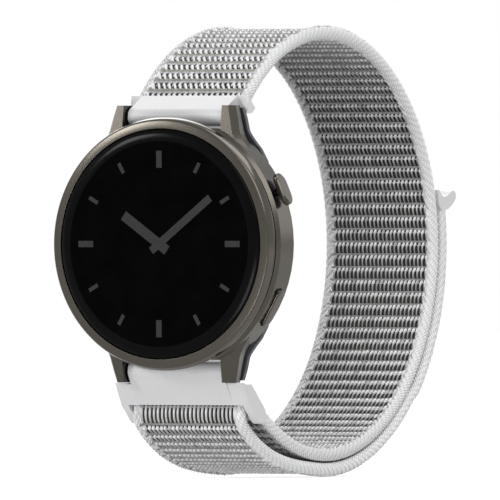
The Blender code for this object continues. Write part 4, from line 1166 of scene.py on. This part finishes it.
def floor():
    """A pale floor that takes the shadow near the object and fades out far off.

    It is mostly clear, because the opened band hangs below it.
    """
    made = bpy.data.materials.new("floor")
    made.use_nodes = True
    made.node_tree.nodes.remove(shader_of(made))
    place = node(made, "ShaderNodeTexCoord")
    distance = node(made, "ShaderNodeVectorMath", operation="LENGTH")
    fade = node(made, "ShaderNodeMapRange")
    fade.inputs["From Min"].default_value = FLOOR_NEAR
    fade.inputs["From Max"].default_value = FLOOR_FAR
    fade.inputs["To Min"].default_value = FLOOR_CLEAR_SHARE
    fade.inputs["To Max"].default_value = 1.0
    clear = node(made, "ShaderNodeBsdfTransparent")
    matt = node(made, "ShaderNodeBsdfDiffuse")
    matt.inputs["Color"].default_value = (FLOOR_GREY, FLOOR_GREY, FLOOR_GREY, 1)
    both = node(made, "ShaderNodeAddShader")
    link(made, place.outputs["Object"], distance.inputs[0])
    link(made, distance.outputs["Value"], fade.inputs["Value"])
    link(made, fade.outputs["Result"], clear.inputs["Color"])
    link(made, clear.outputs[0], both.inputs[0])
    link(made, matt.outputs[0], both.inputs[1])
    link(made, both.outputs[0], made.node_tree.nodes["Material Output"].inputs["Surface"])
    points = [(x * FLOOR_HALF, y * FLOOR_HALF, FLOOR_HEIGHT) for x, y in SQUARE]
    piece = mesh_piece("floor", points, [(0, 1, 2, 3)], made, smooth=False)


# The whole scene


def dress_nodes(finish):
    """Each CAD node gets the material of its slot."""
    for name, obj in frame["nodes"].items():
        obj.data.materials.clear()
        obj.data.materials.append(finish[slot_of[name]])


def main():
    ground = soft_material("gap_shade_cloth", *GAP_SHADE_CLOTH)
    metal = gunmetal_material("gunmetal", GUNMETAL, roughness=0.25)
    polished = gunmetal_material("polished_gunmetal", POLISHED, roughness=0.14)
    plastic = plastic_material("moulded_white", MOULDED_WHITE, roughness=0.42)
    steel = steel_material("steel", STEEL, roughness=0.3)
    copper = ringed_material("copper_wire", COPPER_DARK, COPPER_LIGHT, roughness=0.3, scale=900)
    black = glass_material("black_glass", roughness=0.06, specular=0.02)
    rim = glass_material("glass_rim", roughness=0.18, specular=0.055)
    marks = soft_material("dial_grey", *DIAL_GREY)
    shader_of(marks).inputs["Specular IOR Level"].default_value = 0.1

    make_band(yarn_material("yarn", roughness=0.55), ground, yarn_material("braid", roughness=0.7))
    make_hooks(soft_material("hook_nylon", *HOOK_NYLON))
    make_glass(black, rim)
    make_bezel(metal, polished)
    make_dial(marks)
    make_tab(plastic)
    make_lips(plastic)
    make_springs(steel)
    for name, width in ROUNDINGS.items():
        made = plastic if name.endswith("connector") else metal
        take_place(rounded_copy(name, made, width), name)
    finish = {
        "case_metal": metal,
        "display_glass": rim,
        "display": black,
        "copper": copper,
        "steel": steel,
        "pale_plastic": plastic,
        "hook_tape": plastic,
        "woven_nylon": ground,
        "braided_edge": plastic,
    }
    finish.update({slot: soft_material(slot, *look) for slot, look in MATT_FINISHES.items()})
    dress_nodes(finish)

    camera()
    world()
    floor()
    for lamp in LAMPS:
        area_lamp(*lamp)
    bpy.context.scene.view_settings.view_transform = "Standard"


main()
